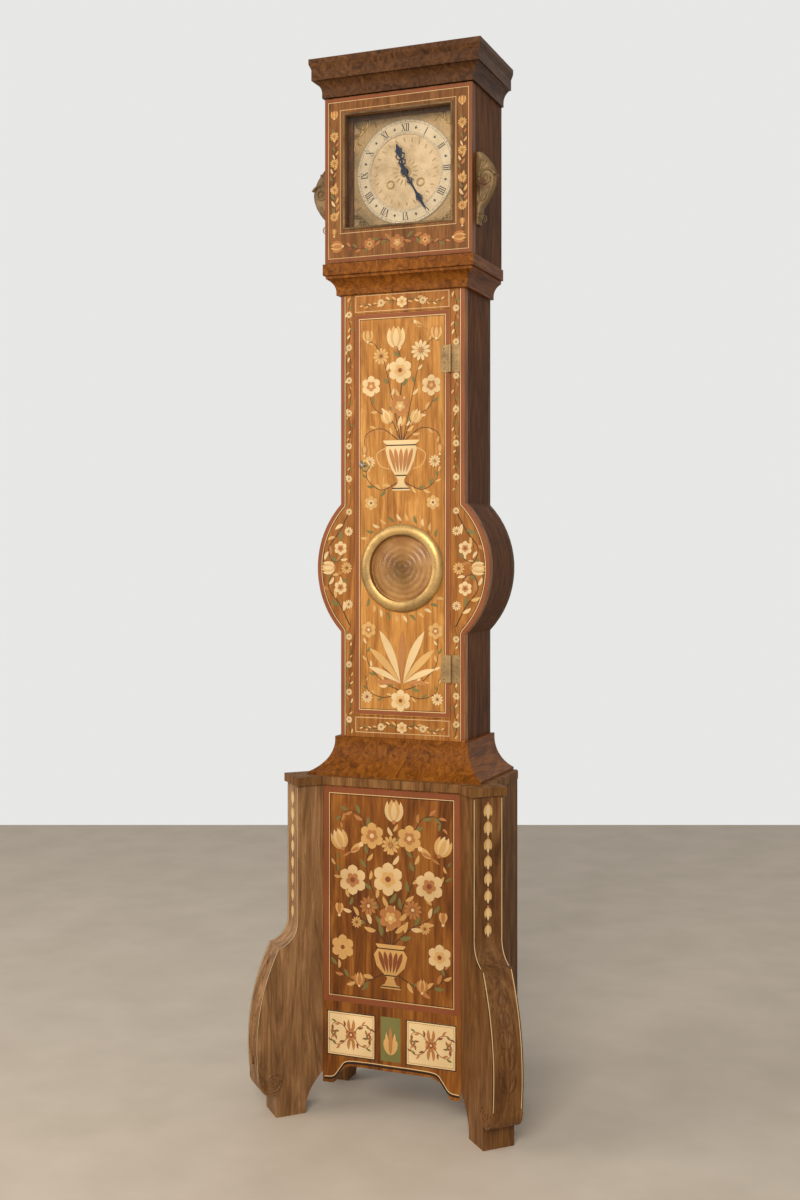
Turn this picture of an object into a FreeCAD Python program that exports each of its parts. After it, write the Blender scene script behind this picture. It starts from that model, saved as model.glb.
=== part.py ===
import FreeCAD, Part

import math
import os
from types import SimpleNamespace

import Sketcher
from FreeCAD import Placement, Rotation, Vector

# Driving sizes in millimetres. Depths are measured forward from the plane of the clock's back.
SIZES = {
    # Trunk
    "trunk_width": 296.0,
    "trunk_depth": 175.0,
    "trunk_height": 1073.0,
    "trunk_wall": 16.0,
    "backboard_thickness": 14.0,
    "front_frame_thickness": 20.0,
    "swelling_radius": 206.0,
    "swelling_rise": 460.0,
    "top_rail_height": 44.0,
    "bottom_rail_height": 130.0,
    # Trunk door
    "trunk_door_width": 228.0,
    "trunk_door_thickness": 18.0,
    "door_clearance": 1.0,
    "lenticle_hole_radius": 80.0,
    "lenticle_sight_radius": 75.0,
    "bezel_radius": 98.0,
    "bezel_height": 8.0,
    "bezel_bow_radius": 18.4,
    "bezel_edge": 3.0,
    "bezel_sleeve_length": 6.0,
    "glass_clearance": 0.4,
    "glass_thickness": 3.0,
    "lenticle_dome": 5.0,
    # Trunk door hinges
    "knuckle_radius": 4.0,
    "hinge_leaf_thickness": 1.6,
    "hinge_leaf_width": 22.0,
    "hinge_height": 60.0,
    "hinge_inset": 110.0,
    "knuckle_gap": 0.3,
    # Lock and key
    "lock_rise": 230.0,
    "lock_width": 48.0,
    "lock_length": 60.0,
    "lock_depth": 14.0,
    "lock_inset": 2.0,
    "bolt_length": 36.0,
    "bolt_width": 7.0,
    "bolt_thickness": 5.0,
    "bolt_rise": 19.0,
    "bolt_play": 0.5,
    "bolt_clearance": 0.3,
    "key_shaft_radius": 2.4,
    "key_bit_length": 10.0,
    "key_bit_thickness": 2.0,
    "key_cavity_radius": 11.0,
    "key_bow_radius": 9.0,
    "key_bow_rim": 3.5,
    "key_bow_thickness": 3.0,
    "key_reach": 16.0,
    # Base
    "base_height": 740.0,
    "base_step": 65.0,
    "base_wall": 22.0,
    "base_top_thickness": 18.0,
    "base_top_overhang": 6.0,
    "base_side_bottom": 100.0,
    "base_floor_height": 130.0,
    "base_floor_thickness": 18.0,
    "apron_top": 241.0,
    "apron_arch_height": 106.0,
    "apron_bottom": 64.0,
    "apron_arch_width": 190.0,
    "apron_arch_radius": 60.0,
    # Diagonal front legs
    "leg_width": 72.0,
    "leg_proud": 22.0,
    "leg_inner_reach": 68.0,
    "leg_scroll_height": 368.0,
    "leg_hollow_height": 57.0,
    "leg_scroll_reach": 64.0,
    "knee_height": 157.0,
    "knee_reach": 114.0,
    "volute_height": 86.0,
    "volute_reach": 110.0,
    "volute_radius": 32.0,
    "ankle_height": 50.0,
    "ankle_reach": 90.0,
    "foot_reach": 72.0,
    "foot_back_reach": 4.0,
    "foot_back_height": 18.0,
    "foot_curve_height": 105.0,
    # Back feet
    "back_foot_width": 46.0,
    "back_foot_depth": 50.0,
    "back_foot_toe_width": 30.0,
    # Mouldings
    "waist_mould_height": 82.0,
    "waist_mould_reach": 56.0,
    "waist_mould_fillet": 6.0,
    "waist_mould_top_reach": 10.0,
    "waist_mould_cove_radius": 74.0,
    "seat_mould_height": 42.0,
    "seat_mould_reach": 26.0,
    "seat_mould_foot": 8.0,
    "seat_mould_fillet": 7.0,
    "seat_mould_cove_radius": 30.0,
    # Hood
    "hood_step": 27.0,
    "hood_frame_height": 25.0,
    "hood_frame_overhang": 4.0,
    "hood_body_height": 372.0,
    "hood_wall": 16.0,
    "hood_board_thickness": 12.0,
    "hood_cheek_clearance": 5.0,
    "mask_thickness": 8.0,
    "mask_clearance": 2.5,
    "mask_sight": 248.0,
    "mask_top_rail": 44.0,
    "cornice_height": 83.0,
    "cornice_foot": 5.0,
    "cornice_foot_height": 8.0,
    "cornice_cove_reach": 19.0,
    "cornice_cove_height": 36.0,
    "cornice_cove_radius": 30.0,
    "cornice_face_reach": 23.0,
    "cornice_face_height": 60.0,
    "cornice_reach": 28.0,
    "cornice_lip_height": 72.0,
    # Hood door
    "hood_door_thickness": 20.0,
    "hood_door_gap": 2.0,
    "hood_door_sight": 250.0,
    "hood_glass_lap": 7.0,
    "hood_glass_rebate": 9.0,
    "hood_pin_radius": 2.0,
    "hood_pin_length": 8.0,
    "hood_pin_inset": 3.0,
    # Hood consoles
    "console_reach": 38.0,
    "console_thickness": 28.0,
    "console_setback": 3.0,
    "console_bottom_rise": 67.0,
    "console_waist_rise": 105.0,
    "console_waist_reach": 14.0,
    "console_crown_rise": 162.0,
    "console_top_rise": 224.0,
    "console_top_reach": 12.0,
    "console_foot_reach": 6.0,
    "console_toe_radius": 34.0,
    "console_belly_radius": 36.0,
    "console_brow_radius": 46.0,
    # Dial
    "dial_width": 258.0,
    "dial_thickness": 2.5,
    "dial_standoff": 29.0,
    "dial_foot_radius": 3.0,
    "dial_foot_spread": 60.0,
    "dial_foot_rise": 72.0,
    "ring_radius": 117.5,
    "ring_inner_radius": 84.0,
    "ring_thickness": 2.0,
    "centre_hole_radius": 7.0,
    "winding_hole_radius": 5.5,
    # Hands
    "hour_hand_length": 66.0,
    "minute_hand_length": 100.0,
    "hand_thickness": 1.5,
    "hand_gap": 2.5,
    "hour_hand_width": 15.0,
    "minute_hand_width": 9.0,
    "hand_boss_radius": 8.0,
    "hand_tip_width": 2.0,
    "minute_hand_tail": 22.0,
    # Movement frame
    "plate_setback": 55.0,
    "plate_thickness": 3.0,
    "plate_gap": 60.0,
    "plate_width": 156.0,
    "plate_drop": 95.0,
    "plate_rise": 94.0,
    "pillar_radius": 5.0,
    "pillar_spread": 70.0,
    "pillar_drop": 86.0,
    "pillar_rise": 85.0,
    "arbor_radius": 2.0,
    "running_fit": 0.05,
    "seatboard_thickness": 18.0,
    "seatboard_back": 50.0,
    "seatboard_clearance": 2.0,
    "line_hole_radius": 4.0,
    # Barrels
    "barrel_spread": 36.0,
    "barrel_drop": 26.0,
    "barrel_line_radius": 20.0,
    "barrel_flange_radius": 23.0,
    "barrel_flange": 2.0,
    "barrel_length": 31.0,
    "barrel_setback": 66.5,
    "barrel_arbor_radius": 3.0,
    # Wheels and pinions
    "great_wheel_radius": 40.7,
    "train_wheel_radius": 28.4,
    "pinion_radius": 3.4,
    "mesh_gap": 0.3,
    "wheel_thickness": 2.5,
    "pinion_length": 8.0,
    "tooth_depth": 2.0,
    "going_great_setback": 62.0,
    "strike_great_setback": 106.0,
    "centre_wheel_setback": 100.0,
    "third_wheel_setback": 78.0,
    "escape_wheel_setback": 91.0,
    "third_spread": 18.0,
    "third_rise": 27.0,
    "escape_rise": 54.0,
    "escape_radius": 22.0,
    "anchor_rise": 86.0,
    "pallet_gap": 1.8,
    "anchor_band": 4.5,
    "anchor_thickness": 5.0,
    "hour_wheel_radius": 24.4,
    "hour_pipe_radius": 4.6,
    "hour_pipe_clearance": 0.4,
    "motion_wheel_radius": 13.2,
    "motion_wheel_gap": 1.5,
    # Striking train
    "pin_wheel_spread": 44.0,
    "pin_wheel_rise": 17.7,
    "pin_wheel_radius": 21.8,
    "pin_wheel_setback": 84.0,
    "pin_circle_radius": 17.0,
    "pin_radius": 1.0,
    "pin_length": 5.0,
    "fly_spread": 36.0,
    "fly_rise": 42.0,
    "fly_length": 26.0,
    "fly_depth": 22.0,
    "fly_thickness": 1.0,
    "fly_setback": 93.0,
    # Bell and hammer
    "bell_radius": 43.0,
    "bell_height": 30.0,
    "bell_wall": 3.0,
    "bell_clearance": 12.0,
    "bell_setback": 98.0,
    "bell_stand_radius": 2.5,
    "bell_stand_offset": 3.8,
    "bell_stand_spread": 55.0,
    "bell_stand_foot": 12.0,
    "bell_stand_rise": 12.0,
    "hammer_spread": 52.0,
    "hammer_rise": 45.0,
    "hammer_arm_radius": 1.5,
    "hammer_head_radius": 5.0,
    "hammer_head_length": 11.0,
    "hammer_bell_gap": 3.0,
    "hammer_tail_gap": 1.0,
    # Pendulum
    "pendulum_setback": 38.0,
    "pendulum_length": 994.0,
    "pendulum_rod_radius": 2.5,
    "suspension_width": 8.0,
    "suspension_thickness": 0.6,
    "suspension_length": 26.0,
    "bob_radius": 60.0,
    "bob_thickness": 26.0,
    "bob_edge": 4.0,
    "rating_nut_radius": 9.0,
    "rating_nut_height": 6.0,
    "pendulum_tail": 22.0,
    "cock_strap_thickness": 4.0,
    "cock_setback": 28.0,
    "cock_half_width": 34.0,
    "cock_leg_width": 6.0,
    "cock_height": 24.0,
    "cock_rise": 20.0,
    "cock_block_width": 12.0,
    "cock_block_height": 12.0,
    "cock_block_depth": 12.0,
    "hanging_gap": 0.3,
    "crutch_length": 88.0,
    "crutch_thickness": 3.0,
    "crutch_width": 4.0,
    "crutch_offset": 6.0,
    "crutch_prong": 2.0,
    "crutch_prong_height": 6.0,
    # Weights, pulleys and gut lines
    "weight_radius": 29.0,
    "weight_length": 190.0,
    "weight_edge": 6.0,
    "weight_stem_radius": 3.0,
    "weight_stem_length": 16.0,
    "pulley_rest_height": 560.0,
    "pulley_rim": 1.5,
    "pulley_width": 8.0,
    "groove_width": 3.2,
    "line_radius": 1.0,
    "line_clearance": 0.3,
    "stirrup_strap": 1.5,
    "stirrup_width": 10.0,
    "stirrup_gap": 0.5,
    "stirrup_drop": 40.0,
    "stirrup_bridge": 4.0,
    "pulley_pin_radius": 2.0,
    # Wall screw hole and cutting overrun
    "wall_hole_radius": 3.0,
    "wall_hole_drop": 38.0,
    "overrun": 1.0,
}

DIAGONAL_SHARE = math.sqrt(0.5)

# Radii of the front legs' two hollows, in the heights of the hollows
LEG_HOLLOW_SHARE = 0.912
FOOT_HOLLOW_SHARE = 1.322

# Where a hand widens to its leaf and narrows to its neck, and how wide its root is
HAND_LEAF_SHARE = 0.72
HAND_NECK_SHARE = 0.5
HAND_ROOT_SHARE = 1.5

# Where the four corners of a tooth lie in its pitch, and a wheel's round windows in its radius
TOOTH_SHARES = (0.0, 0.2, 0.45, 0.65)
WINDOW_RADIUS_SHARE = 0.22
WINDOW_PLACE_SHARE = 0.58

TOOTH_COUNTS = {
    "great": 96,
    "centre": 64,
    "third": 60,
    "escape": 30,
    "pinion": 8,
    "hour": 72,
    "motion": 36,
    "pin": 64,
}
PIN_COUNT = 8
SHOWN_HOUR = 11
SHOWN_MINUTE = 25

# How a swept rod turns its corners
MITRED = 1


class Size:
    """A number together with the sheet formula that gives it."""

    def __init__(self, value, formula):
        self.value = value
        self.formula = formula

    def __add__(self, other):
        other = as_size(other)
        return Size(self.value + other.value, f"({self.formula} + {other.formula})")

    def __radd__(self, other):
        return as_size(other) + self

    def __sub__(self, other):
        other = as_size(other)
        return Size(self.value - other.value, f"({self.formula} - {other.formula})")

    def __rsub__(self, other):
        return as_size(other) - self

    def __mul__(self, other):
        other = as_size(other)
        return Size(self.value * other.value, f"({self.formula} * {other.formula})")

    def __rmul__(self, other):
        return as_size(other) * self

    def __truediv__(self, other):
        other = as_size(other)
        return Size(self.value / other.value, f"({self.formula} / {other.formula})")

    def __neg__(self):
        return Size(-self.value, f"(0 - {self.formula})")


def as_size(item):
    """Give a plain number the same form as a named size."""
    if isinstance(item, Size):
        return item
    return Size(float(item), f"({float(item)!r})")


def leg_of(hypotenuse, side):
    """The other side of a right-angled triangle."""
    value = math.sqrt(hypotenuse.value ** 2 - side.value ** 2)
    return Size(value, f"sqrt({hypotenuse.formula} ^ 2 - {side.formula} ^ 2)")


def dome_radius(half_width, rise):
    """The radius of the sphere whose cap has this half width and rise."""
    return (half_width * half_width + rise * rise) / (rise * 2)


document = FreeCAD.newDocument("TallCaseClock")
sheet = document.addObject("Spreadsheet::Sheet", "Sizes")
named = {}
for row, (alias, number) in enumerate(SIZES.items(), start=1):
    sheet.set(f"A{row}", alias)
    sheet.set(f"B{row}", str(number))
    sheet.setAlias(f"B{row}", alias)
    named[alias] = Size(number, f"Sizes.{alias}")
s = SimpleNamespace(**named)
document.recompute()

parts = []


def keep(item, name):
    """Name a finished piece and put it on the list of pieces to write."""
    item.Label = name
    parts.append(item)
    return item


def bind(item, **values):
    """Tie properties of an object to formulas of the sheet."""
    for name, value in values.items():
        item.setExpression(name, as_size(value).formula)


def place(item, x=0, y=0, z=0, turn=0, axis=Vector(0, 0, 1)):
    """Turn an object by a fixed angle and tie its position to the sheet."""
    item.Placement = Placement(Vector(), Rotation(axis, turn))
    for name, value in (("x", x), ("y", y), ("z", z)):
        item.setExpression(f"Placement.Base.{name}", as_size(value).formula)


def block(x, y, z, name="Block"):
    """A rectangular block between pairs of limits along each axis."""
    box = document.addObject("Part::Box", name)
    bind(box, Length=x[1] - x[0], Width=y[1] - y[0], Height=z[1] - z[0])
    place(box, x[0], y[0], z[0])
    return box


def rod(radius, start, length, along="Z", name="Rod"):
    """A round rod that starts at a point and runs along an axis."""
    cylinder = document.addObject("Part::Cylinder", name)
    bind(cylinder, Radius=radius, Height=length)
    turns = {"Z": (Vector(0, 0, 1), 0), "-Y": (Vector(1, 0, 0), 90), "X": (Vector(0, 1, 0), 90)}
    axis, angle = turns[along]
    place(cylinder, *start, turn=angle, axis=axis)
    return cylinder


def joined(items, name="Joined"):
    """Several overlapping solids made one."""
    fusion = document.addObject("Part::MultiFuse", name)
    fusion.Shapes = items
    return fusion


def cut(base, tools, name="Cut"):
    """A solid less one or more cutting solids."""
    result = document.addObject("Part::Cut", name)
    result.Base = base
    result.Tool = tools[0] if len(tools) == 1 else joined(tools, name + "Tools")
    return result


def common(first, second, name="Common"):
    """What two solids share."""
    result = document.addObject("Part::Common", name)
    result.Base = first
    result.Tool = second
    return result


def group(items, name="Group"):
    """Separate solids that are one piece of the list."""
    compound = document.addObject("Part::Compound", name)
    compound.Links = items
    return compound


def in_order(first, second):
    """Two sizes with the smaller one first."""
    return (first, second) if first.value < second.value else (second, first)


def rectangle(x_low, x_high, y_low, y_high):
    """The four corners of a rectangle, in order."""
    return [(x_low, y_low), (x_high, y_low), (x_high, y_high), (x_low, y_high)]


def arc_between(start, end, radius, turn):
    """An arc of under half a circle; turn is 1 for anticlockwise and -1 for clockwise."""
    chord = end - start
    middle = (start + end) / 2
    rise = math.sqrt(max(radius ** 2 - (chord.Length / 2) ** 2, 0))
    across = Vector(-chord.y, chord.x, 0).normalize()
    centre = middle + across * rise * turn
    crest = centre - across * radius * turn
    return Part.Arc(start, crest, end)


def draw_loop(sketch, corners):
    """Add a closed outline. A corner is (x, y), or (x, y, radius, turn) when an arc leaves it."""
    first = sketch.GeometryCount
    count = len(corners)
    for index, corner in enumerate(corners):
        following = corners[(index + 1) % count]
        start = Vector(as_size(corner[0]).value, as_size(corner[1]).value, 0)
        end = Vector(as_size(following[0]).value, as_size(following[1]).value, 0)
        if len(corner) == 2:
            sketch.addGeometry(Part.LineSegment(start, end))
        else:
            sketch.addGeometry(arc_between(start, end, corner[2].value, corner[3]))
    ends = []
    for index, corner in enumerate(corners):
        is_clockwise = len(corner) > 2 and corner[3] < 0
        ends.append((2, 1) if is_clockwise else (1, 2))
    for index, corner in enumerate(corners):
        line = first + index
        following = first + (index + 1) % count
        here = ends[index]
        there = ends[(index + 1) % count]
        sketch.addConstraint(Sketcher.Constraint("Coincident", line, here[1], following, there[0]))
        hold(sketch, "DistanceX", corner[0], line, here[0])
        hold(sketch, "DistanceY", corner[1], line, here[0])
        if len(corner) > 2:
            hold(sketch, "Radius", corner[2], line)


def draw_circle(sketch, x, y, radius):
    """Add a circle."""
    centre = Vector(as_size(x).value, as_size(y).value, 0)
    circle = sketch.addGeometry(Part.Circle(centre, Vector(0, 0, 1), as_size(radius).value))
    hold(sketch, "DistanceX", x, circle, 3)
    hold(sketch, "DistanceY", y, circle, 3)
    hold(sketch, "Radius", radius, circle)


def hold(sketch, kind, value, *where):
    """Fix one dimension of a sketch by a formula of the sheet."""
    value = as_size(value)
    index = sketch.addConstraint(Sketcher.Constraint(kind, *where, value.value))
    sketch.setExpression(f"Constraints[{index}]", value.formula)


def sketch_on(body, role, loops=(), circles=(), name="Outline"):
    """A sketch on one of a body's own planes."""
    sketch = body.newObject("Sketcher::SketchObject", name)
    plane = next(item for item in body.Origin.OriginFeatures if item.Role == role)
    sketch.AttachmentSupport = [(plane, "")]
    sketch.MapMode = "FlatFace"
    for loop in loops:
        draw_loop(sketch, loop)
    for circle in circles:
        draw_circle(sketch, *circle)
    return sketch


def padded(role, thickness, loops=(), circles=(), side="One side", name="Plate"):
    """A body padded from an outline on one of its planes."""
    body = document.addObject("PartDesign::Body", name)
    pad = body.newObject("PartDesign::Pad", "Thickness")
    pad.Profile = sketch_on(body, role, loops, circles)
    pad.SideType = side
    bind(pad, Length=thickness)
    return body


def front_plate_of(back, front, loops=(), circles=(), x=0, z=0, name="Board"):
    """A board drawn as seen from the front, between two depths from the clock's back."""
    body = padded("XZ_Plane", front - back, loops, circles, name=name)
    place(body, x, BACK - back, z)
    return body


def plan_plate_of(bottom, top, loops=(), circles=(), name="Board"):
    """A board drawn in plan, with its outline measured from the clock's back."""
    body = padded("XY_Plane", top - bottom, loops, circles, name=name)
    place(body, 0, BACK, bottom)
    return body


def turned(role, loop, x=0, y=0, z=0, name="Turned"):
    """A body turned about the upright axis of its sketch."""
    body = document.addObject("PartDesign::Body", name)
    sketch = sketch_on(body, role, [loop])
    turning = body.newObject("PartDesign::Revolution", "Turning")
    turning.Profile = sketch
    turning.ReferenceAxis = (sketch, ["V_Axis"])
    turning.Angle = 360
    place(body, x, y, z)
    return body


def three_sided_moulding(half_width, depth, profile, z, name):
    """A moulding that runs round the two sides and the front, mitred at the corners, in one body."""
    body = document.addObject("PartDesign::Body", name)
    path = sketch_on(body, "XY_Plane", name="Path")
    back = as_size(0)
    corners = [(-half_width, back), (-half_width, -depth), (half_width, -depth), (half_width, back)]
    for start, end in zip(corners, corners[1:]):
        line = path.addGeometry(Part.LineSegment(
            Vector(start[0].value, start[1].value, 0), Vector(end[0].value, end[1].value, 0)))
        for end_number, corner in ((1, start), (2, end)):
            hold(path, "DistanceX", corner[0], line, end_number)
            hold(path, "DistanceY", corner[1], line, end_number)
    section = []
    for corner in profile:
        flipped = corner[3:] and (-corner[3],)
        section.append((-half_width - corner[0], corner[1]) + tuple(corner[2:3]) + tuple(flipped))
    outline = sketch_on(body, "XZ_Plane", [section], name="Section")
    pipe = body.newObject("PartDesign::AdditivePipe", "Run")
    pipe.Profile = outline
    pipe.Spine = (path, ["Edge1", "Edge2", "Edge3"])
    pipe.Transition = "Right corner"
    place(body, 0, BACK, z)
    return body


HALF_TRUNK = s.trunk_width / 2
BASE_DEPTH = s.trunk_depth + s.base_step
HALF_BASE = HALF_TRUNK + s.base_step
HOOD_DEPTH = s.trunk_depth + s.hood_step
HALF_HOOD = HALF_TRUNK + s.hood_step
LEG_SPREAD = (s.knee_reach + s.leg_width / 2) * DIAGONAL_SHARE
BACK = (BASE_DEPTH + LEG_SPREAD) / 2

TRUNK_TOP = s.base_height + s.trunk_height
HOOD_BOTTOM = TRUNK_TOP + s.seat_mould_height
HOOD_FLOOR = HOOD_BOTTOM + s.hood_frame_height
HOOD_TOP = HOOD_FLOOR + s.hood_body_height
CLOCK_TOP = HOOD_TOP + s.cornice_height
SWELLING_HEIGHT = s.base_height + s.swelling_rise
LOCK_HEIGHT = SWELLING_HEIGHT + s.lock_rise
DIAL_HEIGHT = HOOD_TOP - s.mask_top_rail - s.mask_sight / 2
SEAT_TOP = DIAL_HEIGHT - s.plate_drop
SEAT_BOTTOM = SEAT_TOP - s.seatboard_thickness

FRAME_BACK = s.trunk_depth - s.front_frame_thickness
DOOR_BACK = s.trunk_depth - s.trunk_door_thickness
HALF_DOOR = s.trunk_door_width / 2
HALF_OPENING = HALF_DOOR + s.door_clearance
OPENING_BOTTOM = s.base_height + s.bottom_rail_height
OPENING_TOP = TRUNK_TOP - s.top_rail_height

BACK_PLATE = s.plate_setback
BACK_PLATE_FRONT = BACK_PLATE + s.plate_thickness
FRONT_PLATE = BACK_PLATE_FRONT + s.plate_gap
FRONT_PLATE_FRONT = FRONT_PLATE + s.plate_thickness
MOTION_WHEEL_BACK = FRONT_PLATE_FRONT + s.motion_wheel_gap
HOUR_WHEEL_BACK = MOTION_WHEEL_BACK + s.wheel_thickness + s.motion_wheel_gap
DIAL_BACK = FRONT_PLATE_FRONT + s.dial_standoff
DIAL_FRONT = DIAL_BACK + s.dial_thickness
MASK_BACK = DIAL_FRONT + s.ring_thickness + s.mask_clearance
HOUR_HAND_BACK = DIAL_FRONT + s.ring_thickness + s.hand_gap
MINUTE_HAND_BACK = HOUR_HAND_BACK + s.hand_thickness + s.hand_gap
HOOD_DOOR_BACK = HOOD_DEPTH - s.hood_door_thickness

PENDULUM_AXIS = DIAL_HEIGHT + s.anchor_rise
BOB_HEIGHT = PENDULUM_AXIS - s.pendulum_length
PULLEY_RADIUS = s.barrel_line_radius
GROOVE_RADIUS = PULLEY_RADIUS - s.line_radius - s.line_clearance
LINE_SETBACK = s.barrel_setback + s.barrel_length / 2

# Where each arbor stands, sideways and upwards from the centre of the dial
ARBORS = {
    "centre": (as_size(0), as_size(0)),
    "going_barrel": (s.barrel_spread, -s.barrel_drop),
    "strike_barrel": (-s.barrel_spread, -s.barrel_drop),
    "third": (s.third_spread, s.third_rise),
    "escape": (as_size(0), s.escape_rise),
    "anchor": (as_size(0), s.anchor_rise),
    "pin": (-s.pin_wheel_spread, s.pin_wheel_rise),
    "fly": (-s.fly_spread, s.fly_rise),
    "hammer": (-s.hammer_spread, s.hammer_rise),
}


def swelled_edge(half_width, radius, bottom, top, side, upwards):
    """The edge of the trunk between two heights, with the round swelling about the lenticle."""
    rise = leg_of(radius, half_width)
    x = half_width * side
    below = SWELLING_HEIGHT - rise
    above = SWELLING_HEIGHT + rise
    if upwards:
        return [(x, bottom), (x, below, radius, side), (x, above), (x, top)]
    return [(x, top), (x, above, radius, -side), (x, below), (x, bottom)]


def make_backboard():
    """The board that the trunk, the movement's seat and the wall screw share."""
    top = HOOD_TOP - s.hood_board_thickness
    right = swelled_edge(HALF_TRUNK, s.swelling_radius, s.base_height, top, 1, True)
    left = swelled_edge(HALF_TRUNK, s.swelling_radius, s.base_height, top, -1, False)
    outline = [(-HALF_BASE, s.base_side_bottom), (HALF_BASE, s.base_side_bottom), (HALF_BASE, s.base_height)]
    outline += right + left + [(-HALF_BASE, s.base_height)]
    hole = (0, HOOD_TOP - s.wall_hole_drop, s.wall_hole_radius)
    board = front_plate_of(as_size(0), s.backboard_thickness, [outline], [hole], name="BackBoard")
    keep(board, "backboard")


def make_trunk_sides():
    """Two side boards, bent out round the lenticle and rising as cheeks to carry the seatboard."""
    for side, word in ((-1, "left"), (1, "right")):
        outer = swelled_edge(HALF_TRUNK, s.swelling_radius, s.base_height, SEAT_BOTTOM, side, True)
        inner_half = HALF_TRUNK - s.trunk_wall
        inner_radius = s.swelling_radius - s.trunk_wall
        inner = swelled_edge(inner_half, inner_radius, s.base_height, SEAT_BOTTOM, side, False)
        board = front_plate_of(s.backboard_thickness, FRAME_BACK, [outer + inner], name="TrunkSide")
        keep(board, "trunk_side_" + word)


def make_trunk_front():
    """The frame round the trunk door: two swelled stiles and two rails."""
    for side, word in ((-1, "left"), (1, "right")):
        outer = swelled_edge(HALF_TRUNK, s.swelling_radius, s.base_height, TRUNK_TOP, side, True)
        inner = [(HALF_OPENING * side, TRUNK_TOP), (HALF_OPENING * side, s.base_height)]
        stile = front_plate_of(FRAME_BACK, s.trunk_depth, [outer + inner], name="Stile")
        keep(stile, "trunk_stile_" + word)
    rails = []
    depths = (BACK - s.trunk_depth, BACK - FRAME_BACK)
    for heights in ((s.base_height, OPENING_BOTTOM), (OPENING_TOP, TRUNK_TOP)):
        rails.append(block((-HALF_OPENING, HALF_OPENING), depths, heights, "Rail"))
    keep(group(rails), "trunk_rails")


def make_mouldings():
    """The hollow moulding over the base and the one that the hood stands on."""
    waist = [
        (as_size(0), as_size(0)),
        (s.waist_mould_reach, as_size(0)),
        (s.waist_mould_reach, s.waist_mould_fillet, s.waist_mould_cove_radius, -1),
        (s.waist_mould_top_reach, s.waist_mould_height - s.waist_mould_fillet),
        (s.waist_mould_top_reach, s.waist_mould_height),
        (as_size(0), s.waist_mould_height),
    ]
    base_run = three_sided_moulding(HALF_TRUNK, s.trunk_depth, waist, s.base_height, "WaistMoulding")
    keep(base_run, "waist_moulding")
    seat = [
        (as_size(0), as_size(0)),
        (s.seat_mould_foot, as_size(0)),
        (s.seat_mould_foot, s.seat_mould_fillet, s.seat_mould_cove_radius, -1),
        (s.seat_mould_reach, s.seat_mould_height - s.seat_mould_fillet),
        (s.seat_mould_reach, s.seat_mould_height),
        (as_size(0), s.seat_mould_height),
    ]
    seat_run = three_sided_moulding(HALF_TRUNK, s.trunk_depth, seat, TRUNK_TOP, "SeatMoulding")
    keep(seat_run, "hood_seat_moulding")


def corner_point(side, reach, offset):
    """A point near a front corner of the base, by its reach along the diagonal and offset across it."""
    inward_x = (offset - reach) * DIAGONAL_SHARE
    inward_y = (-offset - reach) * DIAGONAL_SHARE
    return ((-HALF_BASE + inward_x) * -side, -BASE_DEPTH + inward_y)


def base_top():
    """The shelf on top of the base, with an ear over each diagonal leg and a hole for the weights."""
    cap_reach = s.leg_proud + s.base_top_overhang
    cap_offset = s.leg_width / 2 + s.base_top_overhang
    edge_x = HALF_BASE + s.base_top_overhang
    edge_y = -BASE_DEPTH - s.base_top_overhang
    ear = cap_offset / DIAGONAL_SHARE
    outline = [
        (-edge_x, -s.backboard_thickness),
        (-edge_x, edge_y + ear),
        corner_point(-1, cap_reach, -cap_offset),
        corner_point(-1, cap_reach, cap_offset),
        (-edge_x + ear, edge_y),
        (edge_x - ear, edge_y),
        corner_point(1, cap_reach, cap_offset),
        corner_point(1, cap_reach, -cap_offset),
        (edge_x, edge_y + ear),
        (edge_x, -s.backboard_thickness),
    ]
    inner_half = HALF_TRUNK - s.trunk_wall
    opening = [
        (-inner_half, -s.backboard_thickness * 2),
        (-inner_half, -FRAME_BACK),
        (inner_half, -FRAME_BACK),
        (inner_half, -s.backboard_thickness * 2),
    ]
    bottom = s.base_height - s.base_top_thickness
    return plan_plate_of(bottom, s.base_height, [outline, opening], name="BaseTop")


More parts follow.
